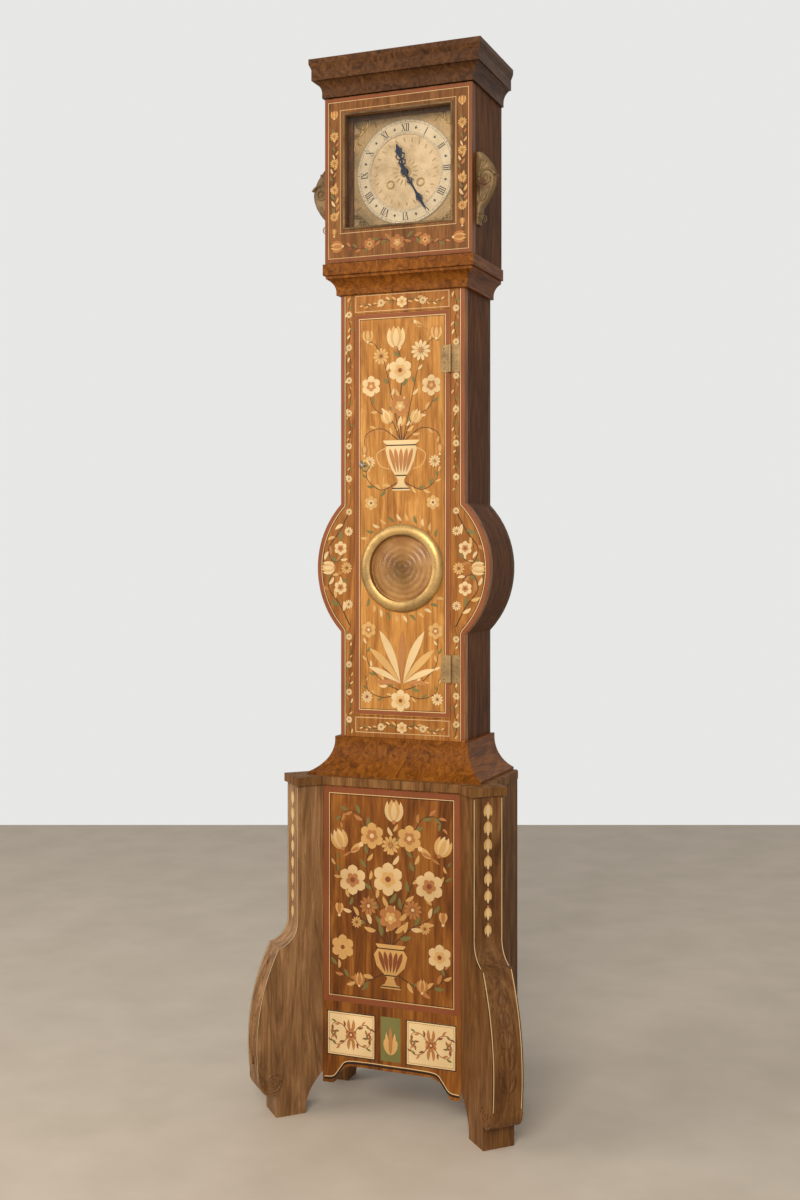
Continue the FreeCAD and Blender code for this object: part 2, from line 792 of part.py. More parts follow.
def make_base_panels():
    """The front panel and sides of the base, mitred against the diagonal legs."""
    leg_edge = s.leg_width / 2 / DIAGONAL_SHARE
    front = [
        (-HALF_BASE + leg_edge, -BASE_DEPTH),
        (HALF_BASE - leg_edge, -BASE_DEPTH),
        (HALF_BASE - leg_edge - s.base_wall, s.base_wall - BASE_DEPTH),
        (-HALF_BASE + leg_edge + s.base_wall, s.base_wall - BASE_DEPTH),
    ]
    top = s.base_height - s.base_top_thickness
    keep(plan_plate_of(s.apron_top, top, [front], name="FrontPanel"), "base_front_panel")
    slab = plan_plate_of(s.apron_bottom, s.apron_top, [front], name="ApronSlab")
    half_arch = s.apron_arch_width / 2
    shape = [
        (-HALF_BASE, s.apron_top),
        (-HALF_BASE, s.apron_bottom),
        (-half_arch - s.apron_arch_height + s.apron_bottom, s.apron_bottom, s.apron_arch_radius, -1),
        (-half_arch, s.apron_arch_height),
        (half_arch, s.apron_arch_height, s.apron_arch_radius, -1),
        (half_arch + s.apron_arch_height - s.apron_bottom, s.apron_bottom),
        (HALF_BASE, s.apron_bottom),
        (HALF_BASE, s.apron_top),
    ]
    depths = (BASE_DEPTH - s.base_wall - s.overrun, BASE_DEPTH + s.overrun)
    curtain = front_plate_of(*depths, [shape], name="ApronShape")
    keep(common(slab, curtain), "front_apron")
    for side, word in ((-1, "left"), (1, "right")):
        panel = [
            (HALF_BASE * side, -s.backboard_thickness),
            (HALF_BASE * side, leg_edge - BASE_DEPTH),
            ((HALF_BASE - s.base_wall) * side, leg_edge + s.base_wall - BASE_DEPTH),
            ((HALF_BASE - s.base_wall) * side, -s.backboard_thickness),
        ]
        board = plan_plate_of(s.base_side_bottom, top, [panel], name="SidePanel")
        keep(board, "base_side_" + word)


def make_base_boards():
    """The base's top shelf, and the board that closes it below with its front corners cut for the legs."""
    inner_x = HALF_BASE - s.base_wall
    inner_y = s.base_wall - BASE_DEPTH
    cut_x, cut_y = corner_point(1, -s.leg_inner_reach, s.leg_width / 2)
    side_x, side_y = corner_point(1, -s.leg_inner_reach, -s.leg_width / 2)
    outline = [
        (-inner_x, -s.backboard_thickness),
        (-inner_x, side_y),
        (-side_x, side_y),
        (-cut_x, cut_y),
        (-cut_x, inner_y),
        (cut_x, inner_y),
        (cut_x, cut_y),
        (side_x, side_y),
        (inner_x, side_y),
        (inner_x, -s.backboard_thickness),
    ]
    bottom = s.base_floor_height - s.base_floor_thickness
    floor = plan_plate_of(bottom, s.base_floor_height, [outline], name="BaseFloor")
    keep(group([base_top(), floor]), "base_boards")


def make_front_legs():
    """Scroll legs set diagonally at the front corners and carried up as corner posts."""
    top = s.base_height - s.base_top_thickness
    knee_radius = dome_radius(s.leg_scroll_height - s.knee_height, s.knee_reach - s.leg_scroll_reach)
    calf_radius = dome_radius(s.knee_height - s.volute_height, s.knee_reach - s.volute_reach)
    hollow_radius = s.leg_hollow_height * LEG_HOLLOW_SHARE
    foot_radius = (s.foot_curve_height - s.foot_back_height) * FOOT_HOLLOW_SHARE
    profile = [
        (-s.leg_inner_reach, s.foot_curve_height),
        (-s.leg_inner_reach, top),
        (s.leg_proud, top),
        (s.leg_proud, s.leg_scroll_height + s.leg_hollow_height, hollow_radius, 1),
        (s.leg_scroll_reach, s.leg_scroll_height, knee_radius, -1),
        (s.knee_reach, s.knee_height, calf_radius, -1),
        (s.volute_reach, s.volute_height, s.volute_radius, -1),
        (s.ankle_reach, s.ankle_height),
        (s.foot_reach, s.ankle_height),
        (s.foot_reach, as_size(0)),
        (s.foot_back_reach, as_size(0)),
        (s.foot_back_reach, s.foot_back_height, foot_radius, 1),
    ]
    for side, word, angle in ((-1, "left", 225), (1, "right", -45)):
        leg = padded("XZ_Plane", s.leg_width, [profile], side="Symmetric", name="Leg")
        place(leg, HALF_BASE * side, BACK - BASE_DEPTH, 0, turn=angle)
        keep(leg, "front_leg_" + word)


def make_back_feet():
    """Two bracket feet under the back corners."""
    feet = []
    back = s.backboard_thickness
    for side in (-1, 1):
        shape = [
            (HALF_BASE * side, 0),
            (HALF_BASE * side, s.base_side_bottom),
            ((HALF_BASE - s.back_foot_width) * side, s.base_side_bottom),
            ((HALF_BASE - s.back_foot_toe_width) * side, 0),
        ]
        feet.append(front_plate_of(back, back + s.back_foot_depth, [shape], name="BackFoot"))
    keep(group(feet), "back_feet")


def make_trunk_door():
    """The trunk door with its round sight hole, moulded bezel and domed glass."""
    bottom = OPENING_BOTTOM + s.door_clearance
    top = OPENING_TOP - s.door_clearance
    outline = rectangle(-HALF_DOOR, HALF_DOOR, bottom, top)
    sight = (0, SWELLING_HEIGHT, s.lenticle_hole_radius)
    keyhole = (KEY_X, LOCK_HEIGHT, s.key_shaft_radius + s.bolt_clearance)
    leaf = front_plate_of(DOOR_BACK, s.trunk_depth, [outline], [sight, keyhole], name="TrunkDoor")
    keep(leaf, "trunk_door")
    sleeve = s.lenticle_hole_radius - s.glass_clearance
    edge = -s.bezel_edge
    bezel = [
        (s.lenticle_sight_radius, s.bezel_sleeve_length),
        (s.lenticle_sight_radius, -s.bezel_height, s.bezel_bow_radius, 1),
        (s.bezel_radius, edge),
        (s.bezel_radius, as_size(0)),
        (sleeve, as_size(0)),
        (sleeve, s.bezel_sleeve_length),
    ]
    keep(turned("XY_Plane", bezel, 0, BACK - s.trunk_depth, SWELLING_HEIGHT, "Bezel"), "lenticle_bezel")
    lens_edge = s.lenticle_sight_radius - s.glass_clearance
    glass_back = s.bezel_sleeve_length + s.glass_thickness
    glass = [
        (as_size(0), glass_back),
        (as_size(0), s.bezel_sleeve_length - s.lenticle_dome, dome_radius(lens_edge, s.lenticle_dome), 1),
        (lens_edge, s.bezel_sleeve_length),
        (sleeve, s.bezel_sleeve_length),
        (sleeve, glass_back),
    ]
    keep(turned("XY_Plane", glass, 0, BACK - s.trunk_depth, SWELLING_HEIGHT, "Lenticle"), "lenticle_glass")


HINGE_X = HALF_OPENING
HINGE_Y = BACK - s.trunk_depth - s.knuckle_radius - s.knuckle_gap


def hinge_half(side, z, is_door_half):
    """One leaf of a butt hinge with its share of the three knuckles."""
    third = s.hinge_height / 3
    near = s.knuckle_radius + s.knuckle_gap
    y_leaf = (BACK - s.trunk_depth - s.hinge_leaf_thickness, BACK - s.trunk_depth)
    bottom = z - s.hinge_height / 2
    ends = in_order(HINGE_X + near * side, HINGE_X + s.hinge_leaf_width * side)
    leaf = block(ends, y_leaf, (bottom, bottom + s.hinge_height), "Leaf")
    knuckles = []
    for index in ((1,) if is_door_half else (0, 2)):
        low = bottom + third * index + (s.knuckle_gap if is_door_half else 0)
        high = bottom + third * (index + 1) - (s.knuckle_gap if is_door_half else 0)
        knuckles.append(rod(s.knuckle_radius, (HINGE_X, HINGE_Y, low), high - low, "Z", "Knuckle"))
        reach = in_order(HINGE_X, HINGE_X + (near + s.knuckle_gap) * side)
        knuckles.append(block(reach, y_leaf, (low, high), "Tongue"))
    return joined([leaf] + knuckles, "HingeHalf")


def make_trunk_hinges():
    """Two butt hinges, one leaf of each on the stile and one on the door."""
    heights = (OPENING_BOTTOM + s.hinge_inset, OPENING_TOP - s.hinge_inset)
    keep(group([hinge_half(1, z, False) for z in heights]), "trunk_door_hinges")
    keep(group([hinge_half(-1, z, True) for z in heights]), "door_hinge_leaves")


LOCK_LEFT = -HALF_DOOR + s.lock_inset
KEY_X = LOCK_LEFT + s.lock_width / 2


def make_lock():
    """The box lock behind the door, its sliding bolt and its key."""
    right = LOCK_LEFT + s.lock_width
    z_low = LOCK_HEIGHT - s.lock_length / 2
    z_high = LOCK_HEIGHT + s.lock_length / 2
    y_front = BACK - DOOR_BACK
    y_middle = BACK - FRAME_BACK + s.bolt_play + s.bolt_thickness / 2
    case = block((LOCK_LEFT, right), (y_front, y_front + s.lock_depth), (z_low, z_high), "LockCase")
    bolt_z = LOCK_HEIGHT + s.bolt_rise
    half_thick = s.bolt_thickness / 2
    half_width = s.bolt_width / 2
    slot = block(
        (LOCK_LEFT - s.overrun, LOCK_LEFT + s.bolt_length + s.bolt_clearance),
        (y_middle - half_thick - s.bolt_clearance, y_middle + half_thick + s.bolt_clearance),
        (bolt_z - half_width - s.bolt_clearance, bolt_z + half_width + s.bolt_clearance),
    )
    cavity = rod(s.key_cavity_radius, (KEY_X, y_middle + half_thick + s.bolt_clearance, LOCK_HEIGHT),
                 s.bolt_thickness + s.bolt_clearance * 2, "-Y")
    way_in = rod(s.key_shaft_radius + s.bolt_clearance, (KEY_X, y_middle, LOCK_HEIGHT),
                 y_middle - y_front + s.overrun, "-Y")
    keep(cut(case, [slot, cavity, way_in]), "door_lock")
    bolt = block(
        (LOCK_LEFT, LOCK_LEFT + s.bolt_length),
        (y_middle - half_thick, y_middle + half_thick),
        (bolt_z - half_width, bolt_z + half_width),
    )
    keep(bolt, "lock_bolt")
    shaft_front = BACK - s.trunk_depth - s.key_reach
    shaft = rod(s.key_shaft_radius, (KEY_X, y_middle + half_thick, LOCK_HEIGHT),
                y_middle + half_thick - shaft_front, "-Y")
    bit = block(
        (KEY_X - s.key_bit_thickness / 2, KEY_X + s.key_bit_thickness / 2),
        (y_middle - half_thick, y_middle + half_thick),
        (LOCK_HEIGHT - s.key_bit_length, LOCK_HEIGHT),
    )
    half_bow = s.key_bow_thickness / 2
    bow = padded("YZ_Plane", s.key_bow_thickness, circles=[
        (0, 0, s.key_bow_radius), (0, 0, s.key_bow_radius - s.key_bow_rim)], name="Bow")
    place(bow, KEY_X - half_bow, shaft_front - s.key_bow_radius + s.key_bow_rim / 2, LOCK_HEIGHT)
    keep(joined([shaft, bit, bow]), "door_key")


def make_hood():
    """The hood: floor frame, sides, mask, cornice and ceiling boards."""
    inner_x = HALF_TRUNK + s.hood_cheek_clearance
    inner_y = -FRAME_BACK - s.hood_cheek_clearance
    outer_x = HALF_HOOD + s.hood_frame_overhang
    outer_y = -HOOD_DEPTH - s.hood_frame_overhang
    frame = [
        (-outer_x, as_size(0)), (-outer_x, outer_y), (outer_x, outer_y), (outer_x, as_size(0)),
        (inner_x, as_size(0)), (inner_x, inner_y), (-inner_x, inner_y), (-inner_x, as_size(0)),
    ]
    pin_hole = (HOOD_PIN_X, -HOOD_PIN_DEPTH, s.hood_pin_radius + s.running_fit)
    keep(plan_plate_of(HOOD_BOTTOM, HOOD_FLOOR, [frame], [pin_hole], name="HoodFrame"), "hood_base_frame")
    sides = []
    depths = (BACK - HOOD_DOOR_BACK + s.hood_door_gap, BACK)
    for side in (-1, 1):
        ends = in_order((HALF_HOOD - s.hood_wall) * side, HALF_HOOD * side)
        sides.append(block(ends, depths, (HOOD_FLOOR, HOOD_TOP), "HoodSide"))
    keep(group(sides), "hood_sides")
    half_inner = HALF_HOOD - s.hood_wall
    half_sight = s.mask_sight / 2
    mask = front_plate_of(MASK_BACK, MASK_BACK + s.mask_thickness, [
        rectangle(-half_inner, half_inner, HOOD_FLOOR, HOOD_TOP),
        rectangle(-half_sight, half_sight, DIAL_HEIGHT - half_sight, DIAL_HEIGHT + half_sight),
    ], name="Mask")
    keep(mask, "hood_mask")
    plan = [rectangle(-HALF_HOOD, HALF_HOOD, -HOOD_DEPTH, as_size(0))]
    ceiling = plan_plate_of(HOOD_TOP, HOOD_TOP + s.hood_board_thickness, plan, [pin_hole], name="Ceiling")
    roof = plan_plate_of(CLOCK_TOP - s.hood_board_thickness, CLOCK_TOP, plan, name="Roof")
    profile = [
        (as_size(0), as_size(0)),
        (s.cornice_foot, as_size(0)),
        (s.cornice_foot, s.cornice_foot_height, s.cornice_cove_radius, -1),
        (s.cornice_cove_reach, s.cornice_cove_height),
        (s.cornice_face_reach, s.cornice_cove_height),
        (s.cornice_face_reach, s.cornice_face_height),
        (s.cornice_reach, s.cornice_lip_height),
        (s.cornice_reach, s.cornice_height),
        (as_size(0), s.cornice_height),
    ]
    moulding = three_sided_moulding(HALF_HOOD, HOOD_DEPTH, profile, HOOD_TOP, "Cornice")
    keep(group([moulding, ceiling, roof]), "hood_cornice")


HOOD_PIN_X = HALF_HOOD - s.hood_pin_inset
HOOD_PIN_DEPTH = HOOD_DOOR_BACK + s.hood_pin_inset


def make_hood_door():
    """The glazed door of the hood, hung on two pins at its right edge."""
    bottom = HOOD_FLOOR + s.hood_door_gap
    top = HOOD_TOP - s.hood_door_gap
    half = s.hood_door_sight / 2
    sight = rectangle(-half, half, DIAL_HEIGHT - half, DIAL_HEIGHT + half)
    leaf = front_plate_of(HOOD_DOOR_BACK + s.hood_glass_rebate, HOOD_DEPTH, [
        rectangle(-HALF_HOOD, HALF_HOOD, bottom, top), sight], name="DoorFace")
    wide = half + s.hood_glass_lap
    ledge = front_plate_of(HOOD_DOOR_BACK, HOOD_DOOR_BACK + s.hood_glass_rebate, [
        rectangle(-HALF_HOOD, HALF_HOOD, bottom, top),
        rectangle(-wide, wide, DIAL_HEIGHT - wide, DIAL_HEIGHT + wide)], name="DoorBack")
    pin_y = BACK - HOOD_PIN_DEPTH
    low_pin = rod(s.hood_pin_radius, (HOOD_PIN_X, pin_y, bottom - s.hood_pin_length), s.hood_pin_length * 2)
    high_pin = rod(s.hood_pin_radius, (HOOD_PIN_X, pin_y, top - s.hood_pin_length), s.hood_pin_length * 2)
    keep(joined([leaf, ledge, low_pin, high_pin]), "hood_door_frame")
    pane = wide - s.glass_clearance
    glass_front = HOOD_DOOR_BACK + s.hood_glass_rebate
    keep(block((-pane, pane), (BACK - glass_front, BACK - glass_front + s.glass_thickness),
               (DIAL_HEIGHT - pane, DIAL_HEIGHT + pane)), "hood_door_glass")


def make_consoles():
    """Scroll consoles on the hood's sides, beside the door."""
    front = HOOD_DOOR_BACK - s.console_setback
    bottom = HOOD_FLOOR + s.console_bottom_rise
    waist = HOOD_FLOOR + s.console_waist_rise
    crown = HOOD_FLOOR + s.console_crown_rise
    top = HOOD_FLOOR + s.console_top_rise
    consoles = []
    for side in (-1, 1):
        face = HALF_HOOD * side
        profile = [
            (face, bottom),
            (face + s.console_foot_reach * side, bottom, s.console_toe_radius, -side),
            (face + s.console_waist_reach * side, waist, s.console_belly_radius, side),
            (face + s.console_reach * side, crown, s.console_brow_radius, side),
            (face + s.console_top_reach * side, top),
            (face, top),
        ]
        consoles.append(front_plate_of(front - s.console_thickness, front, [profile], name="Console"))
    keep(group(consoles), "hood_consoles")


def make_dial():
    """The dial plate on its four feet, and the chapter ring."""
    half = s.dial_width / 2
    holes = [(0, 0, s.centre_hole_radius)]
    for side in (-1, 1):
        holes.append((s.barrel_spread * side, -s.barrel_drop, s.winding_hole_radius))
    plate = front_plate_of(DIAL_BACK, DIAL_FRONT, [rectangle(-half, half, -half, half)], holes,
                           z=DIAL_HEIGHT, name="DialSheet")
    feet = []
    for side in (-1, 1):
        for level in (-1, 1):
            feet.append(rod(s.dial_foot_radius, (s.dial_foot_spread * side, BACK - FRONT_PLATE_FRONT,
                                                 DIAL_HEIGHT + s.dial_foot_rise * level),
                            s.dial_standoff + s.dial_thickness / 2, "-Y", "DialFoot"))
    keep(joined([plate] + feet), "dial_plate")
    ring = front_plate_of(DIAL_FRONT, DIAL_FRONT + s.ring_thickness,
                          circles=[(0, 0, s.ring_radius), (0, 0, s.ring_inner_radius)], z=DIAL_HEIGHT,
                          name="ChapterRing")
    keep(ring, "chapter_ring")


def hand_outline(length, width, tip, tail):
    """A tapering hand that widens to a leaf before its tip, drawn upright from its centre."""
    leaf_height = length * HAND_LEAF_SHARE
    neck_height = length * HAND_NECK_SHARE
    root = tip * HAND_ROOT_SHARE
    return [
        (-tip / 2, length),
        (-width / 2, leaf_height),
        (-tip, neck_height),
        (-root, as_size(0)),
        (-tip, -tail),
        (tip, -tail),
        (root, as_size(0)),
        (tip, neck_height),
        (width / 2, leaf_height),
        (tip / 2, length),
    ]


def hand(length, width, tail, back, angle, hole):
    """A flat hand with a round boss, turned clockwise from twelve."""
    outline = hand_outline(length, width, s.hand_tip_width, tail)
    blade = padded("XZ_Plane", s.hand_thickness, [outline], name="Hand")
    place(blade, 0, BACK - back, DIAL_HEIGHT, turn=angle, axis=Vector(0, 1, 0))
    boss = rod(s.hand_boss_radius, (0, BACK - back, DIAL_HEIGHT), s.hand_thickness, "-Y", "Boss")
    whole = joined([blade, boss], "WholeHand")
    if hole is None:
        return whole
    return cut(whole, [rod(hole, (0, BACK - back + s.overrun, DIAL_HEIGHT),
                           s.hand_thickness + s.overrun * 2, "-Y", "HandHole")])


def toothed_face(radius, teeth, depth):
    """A flat wheel blank with straight-sided teeth, facing forward."""
    points = []
    root = radius - depth
    for tooth in range(teeth):
        for share, reach in zip(TOOTH_SHARES, (root, radius, radius, root)):
            angle = 2 * math.pi * (tooth + share) / teeth
            points.append(Vector(reach * math.cos(angle), 0, reach * math.sin(angle)))
    points.append(points[0])
    return Part.Face(Part.makePolygon(points))


def disc(radius, back, front):
    """A plain round disc between two depths, on the Y axis."""
    return Part.makeCylinder(radius.value, (front - back).value, Vector(0, -back.value, 0), Vector(0, -1, 0))


def wheel_solid(radius, teeth, back, bore=None, windows=5):
    """A toothed wheel with round windows between its arms."""
    face = toothed_face(radius.value, teeth, s.tooth_depth.value)
    solid = face.extrude(Vector(0, -s.wheel_thickness.value, 0))
    solid.translate(Vector(0, -back.value, 0))
    front = back + s.wheel_thickness
    for index in range(windows):
        angle = 2 * math.pi * index / windows
        window = disc(radius * WINDOW_RADIUS_SHARE, back - s.overrun, front + s.overrun)
        window.translate(Vector(math.cos(angle), 0, math.sin(angle)) * radius.value * WINDOW_PLACE_SHARE)
        solid = solid.cut(window)
    if bore is not None:
        solid = solid.cut(disc(bore, back - s.overrun, front + s.overrun))
    return solid


def pinion_solid(back):
    """A leaved pinion on a train arbor."""
    depth = s.pinion_radius.value - s.arbor_radius.value
    face = toothed_face(s.pinion_radius.value, TOOTH_COUNTS["pinion"], depth)
    solid = face.extrude(Vector(0, -s.pinion_length.value, 0))
    solid.translate(Vector(0, -back.value, 0))
    return solid


def movement_piece(arbor, solids, name):
    """A piece of the movement made of joined solids, set at its arbor's place."""
    shape = solids[0].fuse(solids[1:]).removeSplitter() if len(solids) > 1 else solids[0]
    piece = document.addObject("Part::Feature", "Movement")
    piece.Shape = shape
    x, z = ARBORS[arbor]
    place(piece, x, BACK, DIAL_HEIGHT + z)
    return keep(piece, name)


def plate_arbor():
    """An arbor that runs from the outside of one plate to the outside of the other."""
    return disc(s.arbor_radius, BACK_PLATE, FRONT_PLATE_FRONT)


def make_plates():
    """The two brass plates; the pillars are riveted to the back one."""
    half = s.plate_width / 2
    outline = rectangle(-half, half, -s.plate_drop, s.plate_rise)
    holes = []
    for name, (x, z) in ARBORS.items():
        radius = s.barrel_arbor_radius if "barrel" in name else s.arbor_radius
        holes.append((x, z, radius + s.running_fit))
    front_holes = holes + [(0, -MOTION_DROP, s.arbor_radius + s.running_fit)]
    front = front_plate_of(FRONT_PLATE, FRONT_PLATE_FRONT, [outline], front_holes, z=DIAL_HEIGHT)
    keep(front, "front_plate")
    back = front_plate_of(BACK_PLATE, BACK_PLATE_FRONT, [outline], holes, z=DIAL_HEIGHT, name="BackPlate")
    pillars = []
    for side in (-1, 1):
        for level in (-s.pillar_drop, s.pillar_rise):
            start = (s.pillar_spread * side, BACK - BACK_PLATE - s.plate_thickness / 2, DIAL_HEIGHT + level)
            pillars.append(rod(s.pillar_radius, start, s.plate_gap + s.plate_thickness / 2, "-Y", "Pillar"))
    keep(joined([back] + pillars), "back_plate")


MOTION_DROP = s.motion_wheel_radius * 2 + s.mesh_gap


def make_hands_and_motion_work():
    """The hands and the wheels behind the dial that turn the hour hand at a twelfth of the speed."""
    hour_angle = (SHOWN_HOUR + SHOWN_MINUTE / 60) * 30
    bore = s.arbor_radius + s.hour_pipe_clearance
    hour = hand(s.hour_hand_length, s.hour_hand_width, s.hand_tip_width, HOUR_HAND_BACK, hour_angle, bore)
    hour_wheel = document.addObject("Part::Feature", "HourWheel")
    hour_wheel.Shape = wheel_solid(s.hour_wheel_radius, TOOTH_COUNTS["hour"], HOUR_WHEEL_BACK, bore).fuse(
        disc(s.hour_pipe_radius, HOUR_WHEEL_BACK, HOUR_HAND_BACK).cut(
            disc(bore, HOUR_WHEEL_BACK - s.overrun, HOUR_HAND_BACK + s.overrun)))
    place(hour_wheel, 0, BACK, DIAL_HEIGHT)
    keep(group([hour, hour_wheel]), "hour_hand")
    minute = hand(s.minute_hand_length, s.minute_hand_width, s.minute_hand_tail, MINUTE_HAND_BACK,
                  SHOWN_MINUTE * 6, None)
    keep(minute, "minute_hand")
    motion = document.addObject("Part::Feature", "MinuteWheel")
    teeth = TOOTH_COUNTS["motion"]
    motion.Shape = wheel_solid(s.motion_wheel_radius, teeth, MOTION_WHEEL_BACK, windows=0).fuse(
        disc(s.arbor_radius, FRONT_PLATE, HOUR_WHEEL_BACK + s.wheel_thickness + s.motion_wheel_gap))
    place(motion, 0, BACK, DIAL_HEIGHT - MOTION_DROP)
    keep(motion, "minute_wheel")


def make_going_train():
    """Barrel, great wheel, centre, third and escape wheels of the going side."""
    barrel_front = s.barrel_setback + s.barrel_length
    for arbor, wheel_back, name in (
        ("going_barrel", s.going_great_setback, "going"),
        ("strike_barrel", s.strike_great_setback, "strike"),
    ):
        drum = disc(s.barrel_line_radius - s.line_radius - s.line_clearance, s.barrel_setback, barrel_front)
        flanges = [
            disc(s.barrel_flange_radius, s.barrel_setback, s.barrel_setback + s.barrel_flange),
            disc(s.barrel_flange_radius, barrel_front - s.barrel_flange, barrel_front),
        ]
        arbor_rod = disc(s.barrel_arbor_radius, BACK_PLATE, DIAL_BACK)
        movement_piece(arbor, [drum, arbor_rod] + flanges, name + "_barrel")
        bore = s.barrel_arbor_radius + s.running_fit
        movement_piece(arbor, [wheel_solid(s.great_wheel_radius, TOOTH_COUNTS["great"], wheel_back, bore)],
                       name + "_great_wheel")
    centre = [
        disc(s.arbor_radius, BACK_PLATE, MINUTE_HAND_BACK),
        wheel_solid(s.train_wheel_radius, TOOTH_COUNTS["centre"], s.centre_wheel_setback),
        pinion_solid(s.going_great_setback - s.wheel_thickness),
        wheel_solid(s.motion_wheel_radius, TOOTH_COUNTS["motion"], MOTION_WHEEL_BACK, windows=0),
    ]
    movement_piece("centre", centre, "centre_wheel")
    third = [
        plate_arbor(),
        wheel_solid(s.train_wheel_radius, TOOTH_COUNTS["third"], s.third_wheel_setback),
        pinion_solid(s.centre_wheel_setback - s.wheel_thickness),
    ]
    movement_piece("third", third, "third_wheel")
    escape = [
        plate_arbor(),
        wheel_solid(s.escape_radius, TOOTH_COUNTS["escape"], s.escape_wheel_setback),
        pinion_solid(s.third_wheel_setback - s.wheel_thickness),
    ]
    movement_piece("escape", escape, "escape_wheel")


def make_anchor():
    """The anchor over the escape wheel, its arbor, and the crutch that embraces the pendulum rod."""
    axis_rise = s.anchor_rise - s.escape_rise
    back = s.escape_wheel_setback - s.pin_radius
    front = back + s.anchor_thickness
    inner = s.escape_radius + s.pallet_gap
    outer = inner + s.anchor_band
    ring = disc(outer, back, front).cut(disc(inner, back - s.overrun, front + s.overrun))
    ring.translate(Vector(0, 0, -axis_rise.value))
    reach = outer * 2
    keep_above = Part.makeBox(reach.value, front.value, reach.value,
                              Vector(-reach.value / 2, -front.value - s.overrun.value,
                                     (inner * DIAGONAL_SHARE - axis_rise).value))
    arms = ring.common(keep_above)
    neck_low = outer - axis_rise - s.anchor_band / 2
    neck = Part.makeBox(s.anchor_band.value, s.anchor_thickness.value, -neck_low.value,
                        Vector(-s.anchor_band.value / 2, -front.value, neck_low.value))
    crutch_back = s.pendulum_setback + s.crutch_offset
    crutch_front = crutch_back + s.crutch_thickness
    arbor = disc(s.arbor_radius, crutch_back, FRONT_PLATE_FRONT)
    drop = s.crutch_length.value
    arm = Part.makeBox(s.crutch_width.value, s.crutch_thickness.value, drop,
                       Vector(-s.crutch_width.value / 2, -crutch_front.value, -drop))
    grip = s.pendulum_rod_radius + s.hanging_gap
    prong_back = s.pendulum_setback - s.crutch_width
    solids = [arbor, arms, neck, arm]
    yoke_half = grip + s.crutch_prong
    solids.append(Part.makeBox((yoke_half * 2).value, s.crutch_thickness.value, s.crutch_prong_height.value,
                               Vector(-yoke_half.value, -crutch_front.value, -drop)))
    for low in (-yoke_half, grip):
        solids.append(Part.makeBox(s.crutch_prong.value, (crutch_front - prong_back).value,
                                   s.crutch_prong_height.value,
                                   Vector(low.value, -crutch_front.value, -drop)))
    movement_piece("anchor", solids, "anchor")


def make_striking_train():
    """The pin wheel that lifts the hammer, and the fly that slows the train."""
    front = s.pin_wheel_setback + s.wheel_thickness
    solids = [
        plate_arbor(),
        wheel_solid(s.pin_wheel_radius, TOOTH_COUNTS["pin"], s.pin_wheel_setback),
        pinion_solid(s.strike_great_setback - s.wheel_thickness),
    ]
    for index in range(PIN_COUNT):
        angle = 2 * math.pi * (index + 0.5) / PIN_COUNT
        pin = disc(s.pin_radius, front - s.wheel_thickness / 2, front + s.pin_length)
        pin.translate(Vector(math.cos(angle), 0, math.sin(angle)) * s.pin_circle_radius.value)
        solids.append(pin)
    movement_piece("pin", solids, "pin_wheel")
    vane = Part.makeBox(s.fly_length.value, s.fly_depth.value, s.fly_thickness.value,
                        Vector(-s.fly_length.value / 2, -(s.fly_setback + s.fly_depth).value,
                               -s.fly_thickness.value / 2))
    movement_piece("fly", [plate_arbor(), vane, pinion_solid(s.pin_wheel_setback - s.wheel_thickness)], "fly")


BELL_MOUTH = DIAL_HEIGHT + s.plate_rise + s.bell_clearance
BELL_TOP = BELL_MOUTH + s.bell_height


def make_bell():
    """The bell on its bent stand, and the hammer beside it."""
    outer = dome_radius(s.bell_radius, s.bell_height)
    inner = outer - s.bell_wall
    outline = [
        (s.bell_radius, as_size(0), outer, 1),
        (as_size(0), s.bell_height),
        (as_size(0), s.bell_height - s.bell_wall, inner, -1),
        (leg_of(inner, outer - s.bell_height), as_size(0)),
    ]
    bell = turned("XZ_Plane", outline, 0, BACK - s.bell_setback, BELL_MOUTH, "Bell")
    radius = s.bell_stand_radius.value
    stand_y = BACK - BACK_PLATE + s.bell_stand_offset
    level = BELL_TOP + s.bell_stand_rise / 2
    foot_top = DIAL_HEIGHT + s.plate_rise
    post_bottom = foot_top - s.bell_stand_foot * 2
    route = [
        Vector(s.bell_stand_spread.value, stand_y.value, post_bottom.value),
        Vector(s.bell_stand_spread.value, stand_y.value, level.value),
        Vector(0, (BACK - s.bell_setback).value, level.value),
        Vector(0, (BACK - s.bell_setback).value, (BELL_TOP - s.bell_wall / 2).value),
    ]
    section = Part.Wire(Part.makeCircle(radius, route[0], route[1] - route[0]))
    bent_rod = Part.makePolygon(route).makePipeShell([section], True, False, MITRED)
    foot_half = s.bell_stand_foot.value / 2
    foot_depth = (BACK - BACK_PLATE).value
    foot = Part.makeBox(2 * foot_half, stand_y.value - foot_depth, 2 * foot_half,
                        Vector(route[0].x - foot_half, foot_depth, route[0].z))
    stand = document.addObject("Part::Feature", "BellStand")
    stand.Shape = bent_rod.fuse(foot)
    keep(joined([bell, stand]), "bell")


